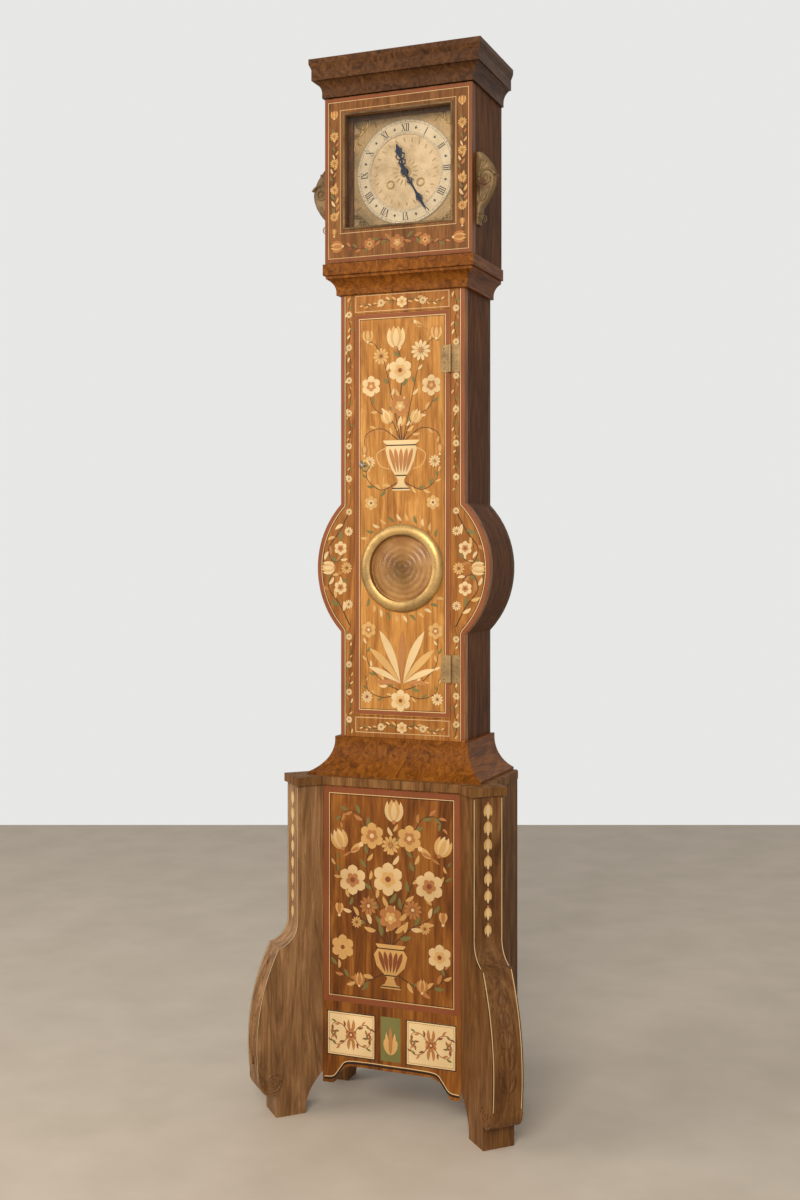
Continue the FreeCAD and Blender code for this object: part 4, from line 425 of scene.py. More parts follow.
class Finish:
    """A node material under construction."""

    def __init__(self, name, **sockets):
        self.material = bpy.data.materials.new(name)
        self.material.use_nodes = True
        self.nodes = self.material.node_tree.nodes
        self.links = self.material.node_tree.links
        self.shader = self.nodes["Principled BSDF"]
        for socket, value in sockets.items():
            self.shader.inputs[socket.replace("_", " ")].default_value = value

    def add(self, kind, **settings):
        """A node with some of its properties set."""
        node = self.nodes.new("ShaderNode" + kind)
        for key, value in settings.items():
            setattr(node, key, value)
        return node

    def join(self, source, target):
        """A link from a node's output, its first unless another is given, to a socket."""
        self.links.new(source.outputs[0] if hasattr(source, "outputs") else source, target)

    def place(self, scale=(1, 1, 1), turn=(0, 0, 0), source="Object", shift=(0, 0, 0)):
        """Coordinates stretched along each axis, turned, and moved by a shift."""
        coordinate = self.add("TexCoord")
        mapping = self.add("Mapping")
        mapping.inputs["Scale"].default_value = scale
        mapping.inputs["Rotation"].default_value = turn
        mapping.inputs["Location"].default_value = shift
        self.join(coordinate.outputs[source], mapping.inputs["Vector"])
        return mapping

    def noise(self, vector, scale, detail=3.0, roughness=0.55, distortion=0.0):
        """A cloud of values between 0 and 1."""
        node = self.add("TexNoise")
        node.inputs["Scale"].default_value = scale
        node.inputs["Detail"].default_value = detail
        node.inputs["Roughness"].default_value = roughness
        node.inputs["Distortion"].default_value = distortion
        self.join(vector, node.inputs["Vector"])
        return node.outputs["Fac"]

    def ramp(self, value, stops, constant=False):
        """A value turned into a colour."""
        node = self.add("ValToRGB")
        ramp = node.color_ramp
        ramp.interpolation = "CONSTANT" if constant else "LINEAR"
        while len(ramp.elements) < len(stops):
            ramp.elements.new(0.5)
        for element, (place, colour) in zip(ramp.elements, stops):
            element.position = place
            element.color = (*colour, 1.0)
        self.join(value, node.inputs["Fac"])
        return node.outputs["Color"]

    def mix(self, share, first, second, blend="MIX"):
        """Two colours mixed by a number or by a value."""
        node = self.add("Mix", data_type="RGBA", blend_type=blend)
        for socket, value in ((node.inputs[0], share), (node.inputs[6], first), (node.inputs[7], second)):
            if isinstance(value, (int, float)):
                socket.default_value = value
            elif isinstance(value, tuple):
                socket.default_value = (*value, 1.0)
            else:
                self.join(value, socket)
        return node.outputs[2]

    def between(self, value, low, high):
        """A value from 0 to 1 stretched between two numbers."""
        node = self.add("MapRange")
        node.inputs["To Min"].default_value = low
        node.inputs["To Max"].default_value = high
        self.join(value, node.inputs["Value"])
        return node.outputs["Result"]

    def shade(self, share, colour, value, *stops):
        """A colour multiplied, by a share, with a ramp over a value."""
        return self.mix(share, colour, self.ramp(value, stops), "MULTIPLY")

    def painted(self, **sockets):
        """The material, with each value given joined to the shader's socket of its name."""
        for socket, value in sockets.items():
            self.join(value, self.shader.inputs[socket.replace("_", " ")])
        return self.material

    def relief(self, value, depth, under=None):
        """Bumps of a depth in metres, over bumps set before."""
        node = self.add("Bump")
        node.inputs["Strength"].default_value = 1.0
        node.inputs["Distance"].default_value = depth
        self.join(value, node.inputs["Height"])
        if under is not None:
            self.join(under, node.inputs["Normal"])
        return node.outputs["Normal"]


def along_grain(axis, along, across):
    """A scale for each axis, small along the grain and large across it."""
    return tuple(along if name == axis else across for name in "xyz")


def polished_wood(name, dark, middle, light, axis="z", figure=26.0, pores=0.3, roughness=0.48, coat=0.05,
        shine=0.16):
    """Veneered wood under old wax: broad figure, fine pores along the grain, and darker patches of age."""
    finish = Finish(name, Coat_Weight=coat, Coat_Roughness=0.3, Specular_IOR_Level=shine)
    fine = finish.place(along_grain(axis, 0.05, 1.0))
    figured = finish.noise(finish.place(along_grain(axis, 0.16, 1.0)), figure, 4.0, 0.6, 2.2)
    streaks = finish.noise(fine, figure * 11, 3.0, 0.6)
    pored = finish.noise(fine, figure * 42, 2.0, 0.7)
    age = finish.noise(finish.place(), 3.2, 3.0, 0.5)
    colour = finish.ramp(figured, [(0.3, dark), (0.5, middle), (0.72, light)])
    colour = finish.shade(0.75, colour, streaks, (0.36, (0.62, 0.56, 0.5)), (0.6, (1.0, 1.0, 1.0)))
    colour = finish.shade(pores, colour, pored, (0.34, (0.42, 0.36, 0.3)), (0.46, (1.0, 1.0, 1.0)))
    colour = finish.shade(0.8, colour, age, (0.35, (0.72, 0.66, 0.6)), (0.65, (1.06, 1.03, 1.0)))
    return finish.painted(
        Base_Color=colour, Roughness=finish.between(streaks, roughness + 0.1, roughness - 0.08),
        Normal=finish.relief(figured, 0.0005, finish.relief(pored, 0.00012)))


def veneers(name, warm=(1.0, 1.0, 1.0)):
    """Inlaid woods: a colour for each kind, grain along each piece, and edges scorched in hot sand."""
    finish = Finish(name, Coat_Weight=0.05, Coat_Roughness=0.3, Specular_IOR_Level=0.16)
    wood = finish.add("Attribute", attribute_name="wood")
    burn = finish.add("Attribute", attribute_name="burn")
    colour = finish.ramp(wood.outputs["Fac"], [
        (0.0, (0.80, 0.60, 0.31)), (0.125, (0.70, 0.43, 0.15)), (0.275, (0.50, 0.22, 0.07)),
        (0.425, (0.27, 0.085, 0.03)), (0.575, (0.20, 0.19, 0.06)), (0.725, (0.10, 0.045, 0.018)),
        (0.875, (0.022, 0.014, 0.010))], True)
    streaks = finish.noise(finish.place((0.35, 3.2, 1.0), source="UV"), 1.1, 3.0, 0.65, 0.4)
    colour = finish.shade(0.7, colour, streaks, (0.3, (0.60, 0.52, 0.44)), (0.62, (1.06, 1.04, 1.02)))
    patch = finish.noise(finish.place(), 9.0, 2.0)
    colour = finish.shade(0.8, colour, patch, (0.3, (0.80, 0.74, 0.68)), (0.7, (1.05, 1.02, 1.0)))
    colour = finish.mix(1.0, colour, warm, "MULTIPLY")
    scorch = finish.ramp(burn.outputs["Fac"], [(0.0, (0, 0, 0)), (0.45, (0.12, 0.12, 0.12)),
            (1.0, (0.8, 0.8, 0.8))])
    return finish.painted(Base_Color=finish.mix(scorch, colour, (0.13, 0.05, 0.016)),
            Roughness=finish.between(streaks, 0.54, 0.38), Normal=finish.relief(streaks, 0.00012))


def worked_metal(name, bright, dull, metallic=1.0, roughness=0.3, wear=14.0, brushing=None, spots=0.5):
    """Metal that is bright where it is rubbed and dull in patches, with fine lines from brushing."""
    finish = Finish(name, Metallic=metallic)
    plain = finish.place()
    patches = finish.noise(plain, wear, 4.0, 0.6, 0.3)
    specks = finish.noise(plain, wear * 14, 3.0, 0.6)
    colour = finish.ramp(patches, [(0.34, dull), (0.62, bright)])
    colour = finish.shade(spots, colour, specks, (0.33, (0.55, 0.5, 0.45)), (0.48, (1.0, 1.0, 1.0)))
    normal = finish.relief(specks, 0.00008)
    if brushing:
        lines = finish.noise(finish.place(along_grain(brushing, 0.03, 1.0)), 900.0, 2.0)
        normal = finish.relief(lines, 0.00005, normal)
    return finish.painted(
        Base_Color=colour, Roughness=finish.between(patches, roughness + 0.2, roughness - 0.06),
        Normal=normal)


def old_gilding():
    """Carved wood gilded long ago: dull gold, dirt in patches and red clay where it is rubbed through."""
    finish = Finish("old_gilding", Metallic=0.2, Specular_IOR_Level=0.2)
    plain = finish.place()
    rubbed = finish.noise(plain, 42.0, 4.0, 0.65)
    dust = finish.noise(plain, 17.0, 4.0, 0.6)
    colour = finish.ramp(dust, [(0.34, (0.085, 0.045, 0.018)), (0.62, (0.22, 0.135, 0.055))])
    worn = finish.ramp(rubbed, [(0.56, (0, 0, 0)), (0.7, (0.8, 0.8, 0.8))])
    return finish.painted(Base_Color=finish.mix(worn, colour, (0.11, 0.036, 0.014)),
            Roughness=finish.between(rubbed, 0.4, 0.62), Normal=finish.relief(rubbed, 0.0004))


def clear_glass():
    """Old window glass: clear when looked at squarely, brighter at a slant, with slow waves in it."""
    finish = Finish("hood_glass", Base_Color=(0.20, 0.21, 0.19, 1.0), Roughness=0.04, IOR=1.5)
    slant = finish.add("LayerWeight")
    slant.inputs["Blend"].default_value = 0.35
    return finish.painted(Alpha=finish.between(slant.outputs["Facing"], 0.02, 0.4),
            Normal=finish.relief(finish.noise(finish.place(), 22.0, 2.0), 0.0012))


def bulls_eye_glass():
    """Thick amber glass spun in one piece: rings about its middle, and clearest at the middle."""
    finish = Finish("sight_glass", Roughness=0.2, Specular_IOR_Level=0.35)
    centred = finish.place(shift=(0, 0, -SWELLING_HEIGHT * MM))
    rings = finish.add("TexWave", wave_type="RINGS", rings_direction="Y")
    rings.inputs["Scale"].default_value = 26.0
    rings.inputs["Distortion"].default_value = 1.5
    finish.join(centred, rings.inputs["Vector"])
    clouds = finish.noise(centred, 24.0, 3.0)
    colour = finish.ramp(clouds, [(0.3, (0.32, 0.130, 0.034)), (0.7, (0.56, 0.29, 0.092))])
    flat = finish.place((1, 0, 1), shift=(0.006, 0, -SWELLING_HEIGHT * MM + 0.008))
    distance = finish.add("VectorMath", operation="LENGTH")
    finish.join(flat, distance.inputs[0])
    thickness = finish.ramp(distance.outputs["Value"],
            [(0.012, (0.22, 0.22, 0.22)), (0.055, (0.74, 0.74, 0.74))])
    return finish.painted(Base_Color=colour, Alpha=thickness,
            Normal=finish.relief(rings.outputs["Fac"], 0.0012))


def twisted_gut():
    """Gut line: pale brown, with its strands as slanting bands along the line's own length."""
    finish = Finish("twisted_gut", Roughness=0.5)
    wave = finish.add("TexWave")
    wave.inputs["Scale"].default_value = 90.0
    finish.join(finish.place((1, 1, 1), (0.9, 0, 0.4)), wave.inputs["Vector"])
    colour = finish.ramp(wave.outputs["Fac"], [(0.2, (0.24, 0.14, 0.06)), (0.8, (0.55, 0.38, 0.2))])
    return finish.painted(Base_Color=colour, Normal=finish.relief(wave.outputs["Fac"], 0.0002))


WALNUT_UP = polished_wood("walnut_upright", (0.062, 0.021, 0.004), (0.135, 0.046, 0.008),
        (0.21, 0.080, 0.018), roughness=0.6, coat=0.0, shine=0.08)
WALNUT_SIDE = polished_wood("walnut_of_base", (0.11, 0.048, 0.014), (0.21, 0.096, 0.030),
        (0.31, 0.155, 0.054), roughness=0.58, coat=0.0, shine=0.08)
WALNUT_ACROSS = polished_wood("walnut_cross_grain", (0.10, 0.030, 0.003), (0.22, 0.068, 0.006),
        (0.34, 0.120, 0.014), "y", figure=38.0, coat=0.0, shine=0.1)
WALNUT_DARK = polished_wood("walnut_of_cornice", (0.040, 0.015, 0.004), (0.098, 0.038, 0.010),
        (0.165, 0.070, 0.021), "y", figure=38.0, coat=0.0, shine=0.12)
OAK = polished_wood("old_oak", (0.07, 0.036, 0.016), (0.15, 0.085, 0.040), (0.24, 0.145, 0.072), pores=0.7,
        roughness=0.66, coat=0.0, shine=0.12)
TRUNK_GROUND = polished_wood("trunk_veneer", (0.22, 0.072, 0.010), (0.38, 0.142, 0.024), (0.54, 0.235, 0.050),
        figure=20.0)
DOOR_GROUND = polished_wood("trunk_door_veneer", (0.32, 0.120, 0.020), (0.52, 0.225, 0.045),
        (0.70, 0.35, 0.090), figure=20.0)
BASE_GROUND = polished_wood("base_veneer", (0.100, 0.028, 0.003), (0.22, 0.068, 0.007), (0.37, 0.140, 0.021),
        figure=18.0)
# The two legs share one veneer: the left copy is made lighter as painted light, and the right copy darker as
# painted shade.
LEG_GROUNDS_PAINTED_LIT_AND_SHADED = {
    "left": polished_wood("left_leg_veneer_painted_light", (0.14, 0.066, 0.022), (0.29, 0.148, 0.058), (0.44, 0.245, 0.108),
        figure=22.0),
    "right": polished_wood("right_leg_veneer_painted_shade", (0.088, 0.033, 0.008), (0.172, 0.073, 0.020),
        (0.27, 0.130, 0.043), figure=22.0)}
HOOD_GROUND = polished_wood("hood_veneer", (0.12, 0.042, 0.007), (0.22, 0.082, 0.016), (0.34, 0.145, 0.036),
        figure=22.0)
VENEERS = veneers("inlaid_woods")
DIM_VENEERS = veneers("inlaid_woods_base", (0.86, 0.80, 0.74))
GILT = old_gilding()
DIAL_BRASS = worked_metal("tarnished_dial_brass", (0.50, 0.31, 0.125), (0.29, 0.18, 0.07), 0.3, 0.52)
CAST_BRASS = worked_metal("cast_brass", (0.50, 0.31, 0.10), (0.23, 0.14, 0.05), 0.6, 0.42)
WHEEL_BRASS = worked_metal("wheel_brass", (0.72, 0.50, 0.19), (0.42, 0.28, 0.11), 1.0, 0.28, brushing="x")
BEZEL_BRASS = worked_metal("turned_brass", (0.52, 0.32, 0.11), (0.26, 0.155, 0.055), 0.8, 0.38)
HINGE_BRASS = worked_metal("hinge_brass", (0.36, 0.22, 0.085), (0.20, 0.12, 0.05), 0.6, 0.46, brushing="z")
WEIGHT_BRASS = worked_metal("weight_brass", (0.66, 0.46, 0.18), (0.38, 0.25, 0.10), 1.0, 0.26, brushing="x")
BELL_METAL = worked_metal("bell_metal", (0.52, 0.42, 0.27), (0.32, 0.26, 0.17), 1.0, 0.34)
SILVERED = worked_metal("silvered_brass", (0.72, 0.55, 0.33), (0.58, 0.43, 0.24), 0.1, 0.52, spots=0.2)
STEEL = worked_metal("worked_steel", (0.42, 0.41, 0.40), (0.24, 0.23, 0.22), 1.0, 0.34, brushing="z")
BLUED = worked_metal("blued_steel", (0.018, 0.024, 0.052), (0.012, 0.014, 0.024), 0.8, 0.3)
WAX_BLACK = worked_metal("black_wax", (0.020, 0.018, 0.016), (0.035, 0.031, 0.027), 0.0, 0.5)
MATTED = worked_metal("matted_dial_centre", (0.70, 0.49, 0.26), (0.52, 0.35, 0.17), 0.1, 0.58, wear=30.0)
DOOR_GLASS = clear_glass()
SIGHT_GLASS = bulls_eye_glass()
GUT = twisted_gut()


def dress(material, *names):
    """Give a material to nodes of the frame."""
    for name in names:
        node = NODES[name]
        if not node.data.materials:
            node.data.materials.append(material)
        for slot in node.material_slots:
            slot.material = material


dress(OAK, "backboard", "seatboard")
dress(WALNUT_UP, "trunk_side_left", "trunk_side_right", "hood_sides")
dress(WALNUT_SIDE, "base_side_left", "base_side_right", "back_feet", "base_boards")
dress(WALNUT_ACROSS, "waist_moulding", "hood_seat_moulding", "hood_base_frame")
dress(WALNUT_DARK, "hood_cornice")
dress(TRUNK_GROUND, "trunk_stile_left", "trunk_stile_right", "trunk_rails")
dress(DOOR_GROUND, "trunk_door")
dress(BASE_GROUND, "base_front_panel", "front_apron")
# Painted light on the left leg's veneer and painted shade on the right leg's veneer.
dress(LEG_GROUNDS_PAINTED_LIT_AND_SHADED["left"], "front_leg_left")
dress(LEG_GROUNDS_PAINTED_LIT_AND_SHADED["right"], "front_leg_right")
dress(HOOD_GROUND, "hood_door_frame", "hood_mask")
dress(BEZEL_BRASS, "lenticle_bezel")
dress(HINGE_BRASS, "trunk_door_hinges", "door_hinge_leaves")
dress(DOOR_GLASS, "hood_door_glass")
dress(SIGHT_GLASS, "lenticle_glass")
dress(DIAL_BRASS, "dial_plate")
dress(SILVERED, "chapter_ring")
dress(BLUED, "hour_hand", "minute_hand")
dress(STEEL, "door_lock", "lock_bolt", "door_key", "pendulum_rod", "anchor", "hammer")
dress(WHEEL_BRASS, "front_plate", "back_plate", "back_cock", "centre_wheel", "minute_wheel", "third_wheel",
        "escape_wheel", "going_great_wheel", "going_barrel", "strike_great_wheel", "strike_barrel",
        "pin_wheel", "fly", "going_pulley", "strike_pulley")
dress(WEIGHT_BRASS, "going_weight", "strike_weight", "pendulum_bob")
dress(BELL_METAL, "bell")


# Marquetry of the trunk door

def bouquet_of_door():
    """A pale urn of flowers over the sight hole, a palmette under it, and a wreath round it."""
    door = Panel(front_of(TRUNK_FACE))
    door.border(TRUNK_DOOR, (0, 9, ROSEWOOD), (9.5, 1.4, HOLLY), (11.5, 1.0, EBONY))
    middle, foot, height = -2, 1372, 112
    door.urn(middle, foot, height, 40, HOLLY, PEAR, TALL_URN)
    for side in (-1, 1):
        handle = mirrored(((38, 1467), (58, 1453), (50, 1428), (28, 1420)), side) + (middle, 0)
        door.stem(handle, 3.0, BOX, 18, 0.7, lift=0.05)
    mouth = foot + height
    for side in (-1, 1):
        door.lay_out(
            side,
            (((4, mouth), (26, 1530), (66, 1556), (82, 1600)), 6, 22, (BOX, STAINED, HOLLY)),
            (((3, mouth), (20, 1560), (34, 1625), (46, 1672)), 6, 22, (HOLLY, STAINED)),
            (((8, mouth), (48, 1510), (86, 1498), (90, 1462)), 6, 18, (BOX, PEAR)),
            (((8 + side * middle, 1390), (50, 1374), (84, 1400), (80, 1436)), 8, 20, (BOX, STAINED)),
            ("daisy", (78, 1436), 26, (HOLLY, BOX, PEAR)),
            ("rose", (74, 1345), 30, (BOX, HOLLY, ROSEWOOD)),
            ("bell", (90, 1462), 22, (PEAR, BOX, HOLLY), -UP),
            ("tulip", (82, 1720), 30, (BOX, PEAR, HOLLY)),
            (((46, 1672), (66, 1700), (82, 1706)), 3, 14, (STAINED, BOX)))
    door.lay_out(
        1,
        (((0, mouth), (-6, 1560), (2, 1640), (-14, 1700)), 9, 26, (BOX, STAINED, HOLLY), 3.0),
        ("rose", (-4, 1560), 44, (PEAR, BOX, HOLLY)),
        ("rose", (-4, 1639), 54, (HOLLY, BOX, ROSEWOOD)),
        ("tulip", (-14, 1714), 50, (HOLLY, BOX, PEAR)),
        ("daisy", (45, 1681), 44, (HOLLY, BOX, PEAR)),
        ("daisy", (-50, 1672), 36, (BOX, HOLLY, ROSEWOOD)),
        ("rose", (70, 1603), 44, (HOLLY, PEAR, BOX)),
        ("rose", (-74, 1606), 44, (HOLLY, PEAR, BOX)),
        ("tulip", (34, 1536), 32, (BOX, HOLLY, PEAR), 1.15),
        ("tulip", (-36, 1536), 32, (BOX, HOLLY, PEAR), math.pi - 1.15))
    door.bird((40, 1737), 26, -1)

    wreath, reach = 105, 84
    for number in range(36):
        turn = CIRCLE * number / 36
        root = (wreath * math.cos(turn), SWELLING_HEIGHT + wreath * math.sin(turn))
        if abs(root[0]) < reach:
            door.leaf(root, turn + 1.1, 20, 7, (HOLLY, STAINED, BOX)[number % 3], bend=-0.9)

    root = 944
    for side in (-1, 1):
        for lean, length, width, wood in ((0.26, 128, 19, HOLLY), (0.62, 108, 17, BOX), (1.0, 84, 14, HOLLY),
                (1.4, 60, 11, PEAR)):
            door.leaf((side * 3, root), UP - side * lean, length, width, wood, bend=-side * 0.3, widest=0.6,
                    burn=(0.5, 0.0), lift=0.13)
        door.lay_out(
            side,
            (((8, 930), (44, 946), (82, 990), (84, 1050)), 8, 22, (STAINED, HOLLY, BOX)),
            (((8, 920), (46, 912), (80, 926), (88, 958)), 5, 16, (BOX, STAINED)),
            ("rose", (80, 1062), 34, (BOX, PEAR, HOLLY)),
            ("daisy", (84, 912), 26, (HOLLY, BOX, ROSEWOOD)))
    door.leaf((0, root), UP, 118, 17, PEAR, widest=0.6, lift=0.27, burn=(0.5, 0.0))
    door.flower("rose", (-3, 906), 46, (HOLLY, BOX, ROSEWOOD))
    door.piece("trunk_door_marquetry", "trunk_door", "marquetry", VENEERS)


bouquet_of_door()


# Marquetry of the stiles, rails, hood door, base, apron and legs

def outer_edge(inset, count=120):
    """The trunk's right edge, kept in by an inset: upright, then round the swelling, then upright again."""
    z = np.linspace(824, 1811, count)
    inside = np.sqrt(np.clip((SWELLING_RADIUS - inset) ** 2 - (z - SWELLING_HEIGHT) ** 2, 0, None))
    return np.stack([np.maximum(HALF_TRUNK - inset, inside), z], -1)


def outward(side):
    """The heading away from the middle on a side."""
    return 0.0 if side > 0 else math.pi


def vines_of_stiles():
    """A climbing vine on each stile, with a large scroll in the swelling and bands along the edges."""
    stiles = Panel(front_of(TRUNK_FACE))
    for side in (-1, 1):
        mirror = np.array([side, 1])
        stiles.ribbon(outer_edge(5.0) * mirror, 4.2, ROSEWOOD)
        stiles.ribbon(outer_edge(10.2) * mirror, 0.7, HOLLY)
        stiles.ribbon(outer_edge(12.0) * mirror, 0.6, EBONY)
        for low, high, flip in ((828, 1076, 1), (1806, 1326, -1)):
            z = np.linspace(low, high, 9 if flip > 0 else 14)
            wander = 127 + 3.5 * np.where(np.arange(len(z)) % 2, 1, -1)
            stiles.spray(np.stack([side * wander, z], -1), 1.8, leaves=22 if flip > 0 else 34, size=13,
                    woods=(BOX, STAINED, HOLLY, PEAR), start=0.03)
            for place in z[1::2]:
                stiles.flower("daisy", (side * 128, place), 15, (HOLLY, BOX, PEAR))
        for flip in (-1, 1):
            def at(*points):
                return mirrored(points if len(points) > 1 else points[0], side, flip, SWELLING_HEIGHT)

            stiles.spray(at((127, 128), (150, 84), (178, 46), (168, 14), (146, 22), (148, 42)), 3.0,
                    leaves=11, size=24, woods=(HOLLY, STAINED, BOX, PEAR))
            stiles.flower("rose", at((149, 44)), 30, (HOLLY, PEAR, ROSEWOOD))
            stiles.flower("daisy", at((129, 82)), 20, (HOLLY, BOX, PEAR))
        stiles.flower("tulip", (side * 180, SWELLING_HEIGHT), 34, (HOLLY, BOX, PEAR), outward(side))
        stiles.flower("daisy", (side * 134, SWELLING_HEIGHT), 26, (BOX, HOLLY, ROSEWOOD))
    for z, low, high in ((846, 832, 866), (1791, 1773, 1810)):
        stiles.box_line(-112, 112, low, high, 1.2, HOLLY)
        for side in (-1, 1):
            stiles.spray(mirrored(((0, 0), (36, 5), (72, -5), (104, 0)), side, 1, z), 1.6, leaves=12, size=13,
                    woods=(BOX, STAINED, HOLLY))
            stiles.flower("daisy", (side * 50, z), 17, (HOLLY, BOX, PEAR))
        stiles.flower("rose", (0, z), 24, (HOLLY, BOX, PEAR))
    stiles.piece("trunk_front_marquetry", "case", "marquetry", VENEERS)


vines_of_stiles()


def flowers_of_hood_door():
    """Flowers at the hood door's corners and trailing sprays along its rails."""
    door = Panel(front_of(HOOD_DOOR_FACE))
    door.border(HOOD_DOOR, (0, 6, ROSEWOOD), (7, 1.2, HOLLY))
    door.box_line(-138, 138, DIAL_HEIGHT - 138, DIAL_HEIGHT + 138, 1.2, HOLLY)
    for side in (-1, 1):
        x = side * 152
        door.spray([(x, 1955), (x + 3, 2010), (x - 3, 2070), (x + 3, 2130), (x, 2205)], 1.8, leaves=22,
                size=17, woods=(BOX, STAINED, PEAR, HOLLY))
        for z in (1985, 2045, 2105, 2165):
            door.flower("daisy", (x, z), 20, (BOX, HOLLY, PEAR))
        door.lay_out(
            side,
            ("tulip", (152, 2214), 20, (BOX, PEAR, HOLLY)),
            ("bell", (152, 1950), 18, (PEAR, BOX, HOLLY), -UP),
            (((0, 1918), (40, 1926), (80, 1910), (128, 1918)), 13, 20, (PEAR, STAINED, ROSEWOOD), 2.0),
            ("rose", (66, 1918), 26, (PEAR, BOX, ROSEWOOD)),
            ("tulip", (146, 1918), 30, (PEAR, BOX, HOLLY), outward(side)))
    door.flower("rose", (0, 1917), 34, (PEAR, BOX, HOLLY))
    door.piece("hood_door_marquetry", "hood_door", "marquetry", DIM_VENEERS)


flowers_of_hood_door()


def flowers_of_base():
    """A low urn with scrolling branches of flowers and two birds, in a banded frame."""
    base = Panel(front_of(BASE_FACE))
    base.border(BASE_PANEL, (0, 12, ROSEWOOD), (13, 1.6, HOLLY), (15.5, 1.0, EBONY))
    base.urn(0, 286, 96, 40, BOX, ROSEWOOD, LOW_URN)
    for side in (-1, 1):
        base.lay_out(
            side,
            (((6, 382), (46, 420), (96, 452), (92, 506)), 9, 30, (STAINED, BOX, HOLLY), 3.0),
            (((4, 382), (22, 450), (56, 540), (44, 610)), 11, 30, (BOX, STAINED), 3.0),
            (((44, 610), (74, 660), (110, 664), (124, 630)), 8, 24, (STAINED, PEAR), 2.4),
            (((15, 318), (76, 292), (124, 320), (122, 366)), 10, 28, (BOX, STAINED, PEAR), 2.8),
            (((92, 506), (126, 530), (132, 570)), 5, 20, (STAINED, BOX), 2.0),
            ("rose", (90, 516), 62, (HOLLY, PEAR, ROSEWOOD)),
            ("rose", (44, 616), 54, (BOX, PEAR, HOLLY)),
            ("tulip", (122, 604), 46, (BOX, HOLLY, PEAR), UP - side * 0.4),
            ("daisy", (52, 462), 40, (PEAR, BOX, HOLLY)),
            ("daisy", (80, 424), 24, (BOX, HOLLY, ROSEWOOD)),
            ("rose", (114, 366), 52, (HOLLY if side > 0 else BOX, BOX, ROSEWOOD)),
            ("bell", (122, 450), 28, (BOX, PEAR, HOLLY), -UP),
            ("tulip", (74, 300), 30, (PEAR, BOX, HOLLY)))
        base.bird((side * 82, 584), 38, -side)
    base.lay_out(
        1,
        (((0, 382), (-4, 460), (4, 560), (6, 660)), 13, 32, (BOX, STAINED, HOLLY), 3.4),
        ("rose", (-6, 524), 68, (HOLLY, BOX, ROSEWOOD)),
        ("rose", (0, 440), 52, (PEAR, BOX, HOLLY)),
        ("tulip", (8, 674), 50, (HOLLY, BOX, PEAR)),
        ("daisy", (0, 598), 40, (BOX, HOLLY, PEAR)))
    base.piece("base_panel_marquetry", "case", "marquetry", DIM_VENEERS)


flowers_of_base()


def panels_of_apron():
    """Two pale reserves with scrolled leaves, a dark one between them, and a band along the apron's edge."""
    apron = Panel(front_of(BASE_FACE))
    low, middle, high, half = 126, 175, 224, 58
    for side in (-1, 1):
        centre = side * RESERVE
        apron.ribbon([(centre, low), (centre, 174), (centre, high)], half, HOLLY, burn=(0.08, 0.0))
        for inset, width, wood in ((0, 2.2, EBONY), (5, 0.8, ROSEWOOD)):
            apron.box_line(centre - half + inset, centre + half - inset, low + inset, high - inset, width,
                    wood, lift=0.13)
        for across in (-1, 1):
            for way in (-1, 1):
                def at(x, z):
                    return (centre + across * x, middle + way * z)

                apron.spray([at(7, 4), at(20, 20), at(38, 24), at(47, 12), at(40, 3), at(33, 8)], 2.0,
                        leaves=7, size=14, woods=(ROSEWOOD, PEAR, STAINED), stem_wood=ROSEWOOD, lift=0.27)
                apron.leaf(at(3, 8), UP * way + across * way * -0.35, 26, 8, PEAR, bend=across * way * 0.5,
                        lift=0.27)
            apron.flower("daisy", (centre + across * 42, middle), 13, (ROSEWOOD, PEAR, HOLLY))
        apron.flower("rose", (centre, middle), 27, (PEAR, ROSEWOOD, HOLLY))
    apron.ribbon([(0, low + 2), (0, middle), (0, high)], 24, STAINED, burn=(0.25, 0.1))
    for turn in (-0.8, -0.4, 0.0, 0.4, 0.8):
        apron.leaf((0, 142), UP + turn, 62 - 30 * abs(turn), 10, BOX if turn else PEAR, bend=-turn,
                lift=0.13 if turn else 0.27, burn=(0.4, 0.0))
    edge = np.array([(-158, 72), (-136, 76), (-120, 96), (-104, 111), (-60, 114), (0, 114), (60, 114),
            (104, 111), (120, 96), (136, 76), (158, 72)], float)
    apron.ribbon(smooth_line(edge, 90), 2.2, EBONY)
    apron.ribbon(smooth_line(edge + np.array([0, 4.2]), 90), 0.8, HOLLY)
    apron.piece("apron_marquetry", "case", "marquetry", VENEERS)


panels_of_apron()


def husks_of_legs():
    """A chain of husks down each diagonal post, with stringing that follows the knee."""
    for side, word in ((-1, "left"), (1, "right")):
        leg = Panel(front_of_leg(side), rise=0.25)
        z = np.linspace(716, 92, 90)
        for offset, width, wood in ((32.5, 1.6, HOLLY), (34.8, 0.8, EBONY)):
            for edge in (-1, 1):
                leg.ribbon(np.stack([np.full(len(z), edge * offset), z], -1), width / 2, wood)
        for number, top in enumerate(np.linspace(706, 452, 8)):
            size = 34 - number
            for turn in (-0.5, 0.5, 0.0):
                leg.leaf((0, top), -UP + turn, size * (1.0 if turn == 0 else 0.82), size * 0.28,
                        BOX if turn else HOLLY, bend=-turn * 0.9, burn=(0.6, 0.0),
                        lift=0.27 if turn == 0 else 0.13)
            leg.disc((0, top + 1), 2.6, PEAR, lift=0.41)
        leg.piece("leg_marquetry_" + word, "case", "marquetry", VENEERS)


husks_of_legs()


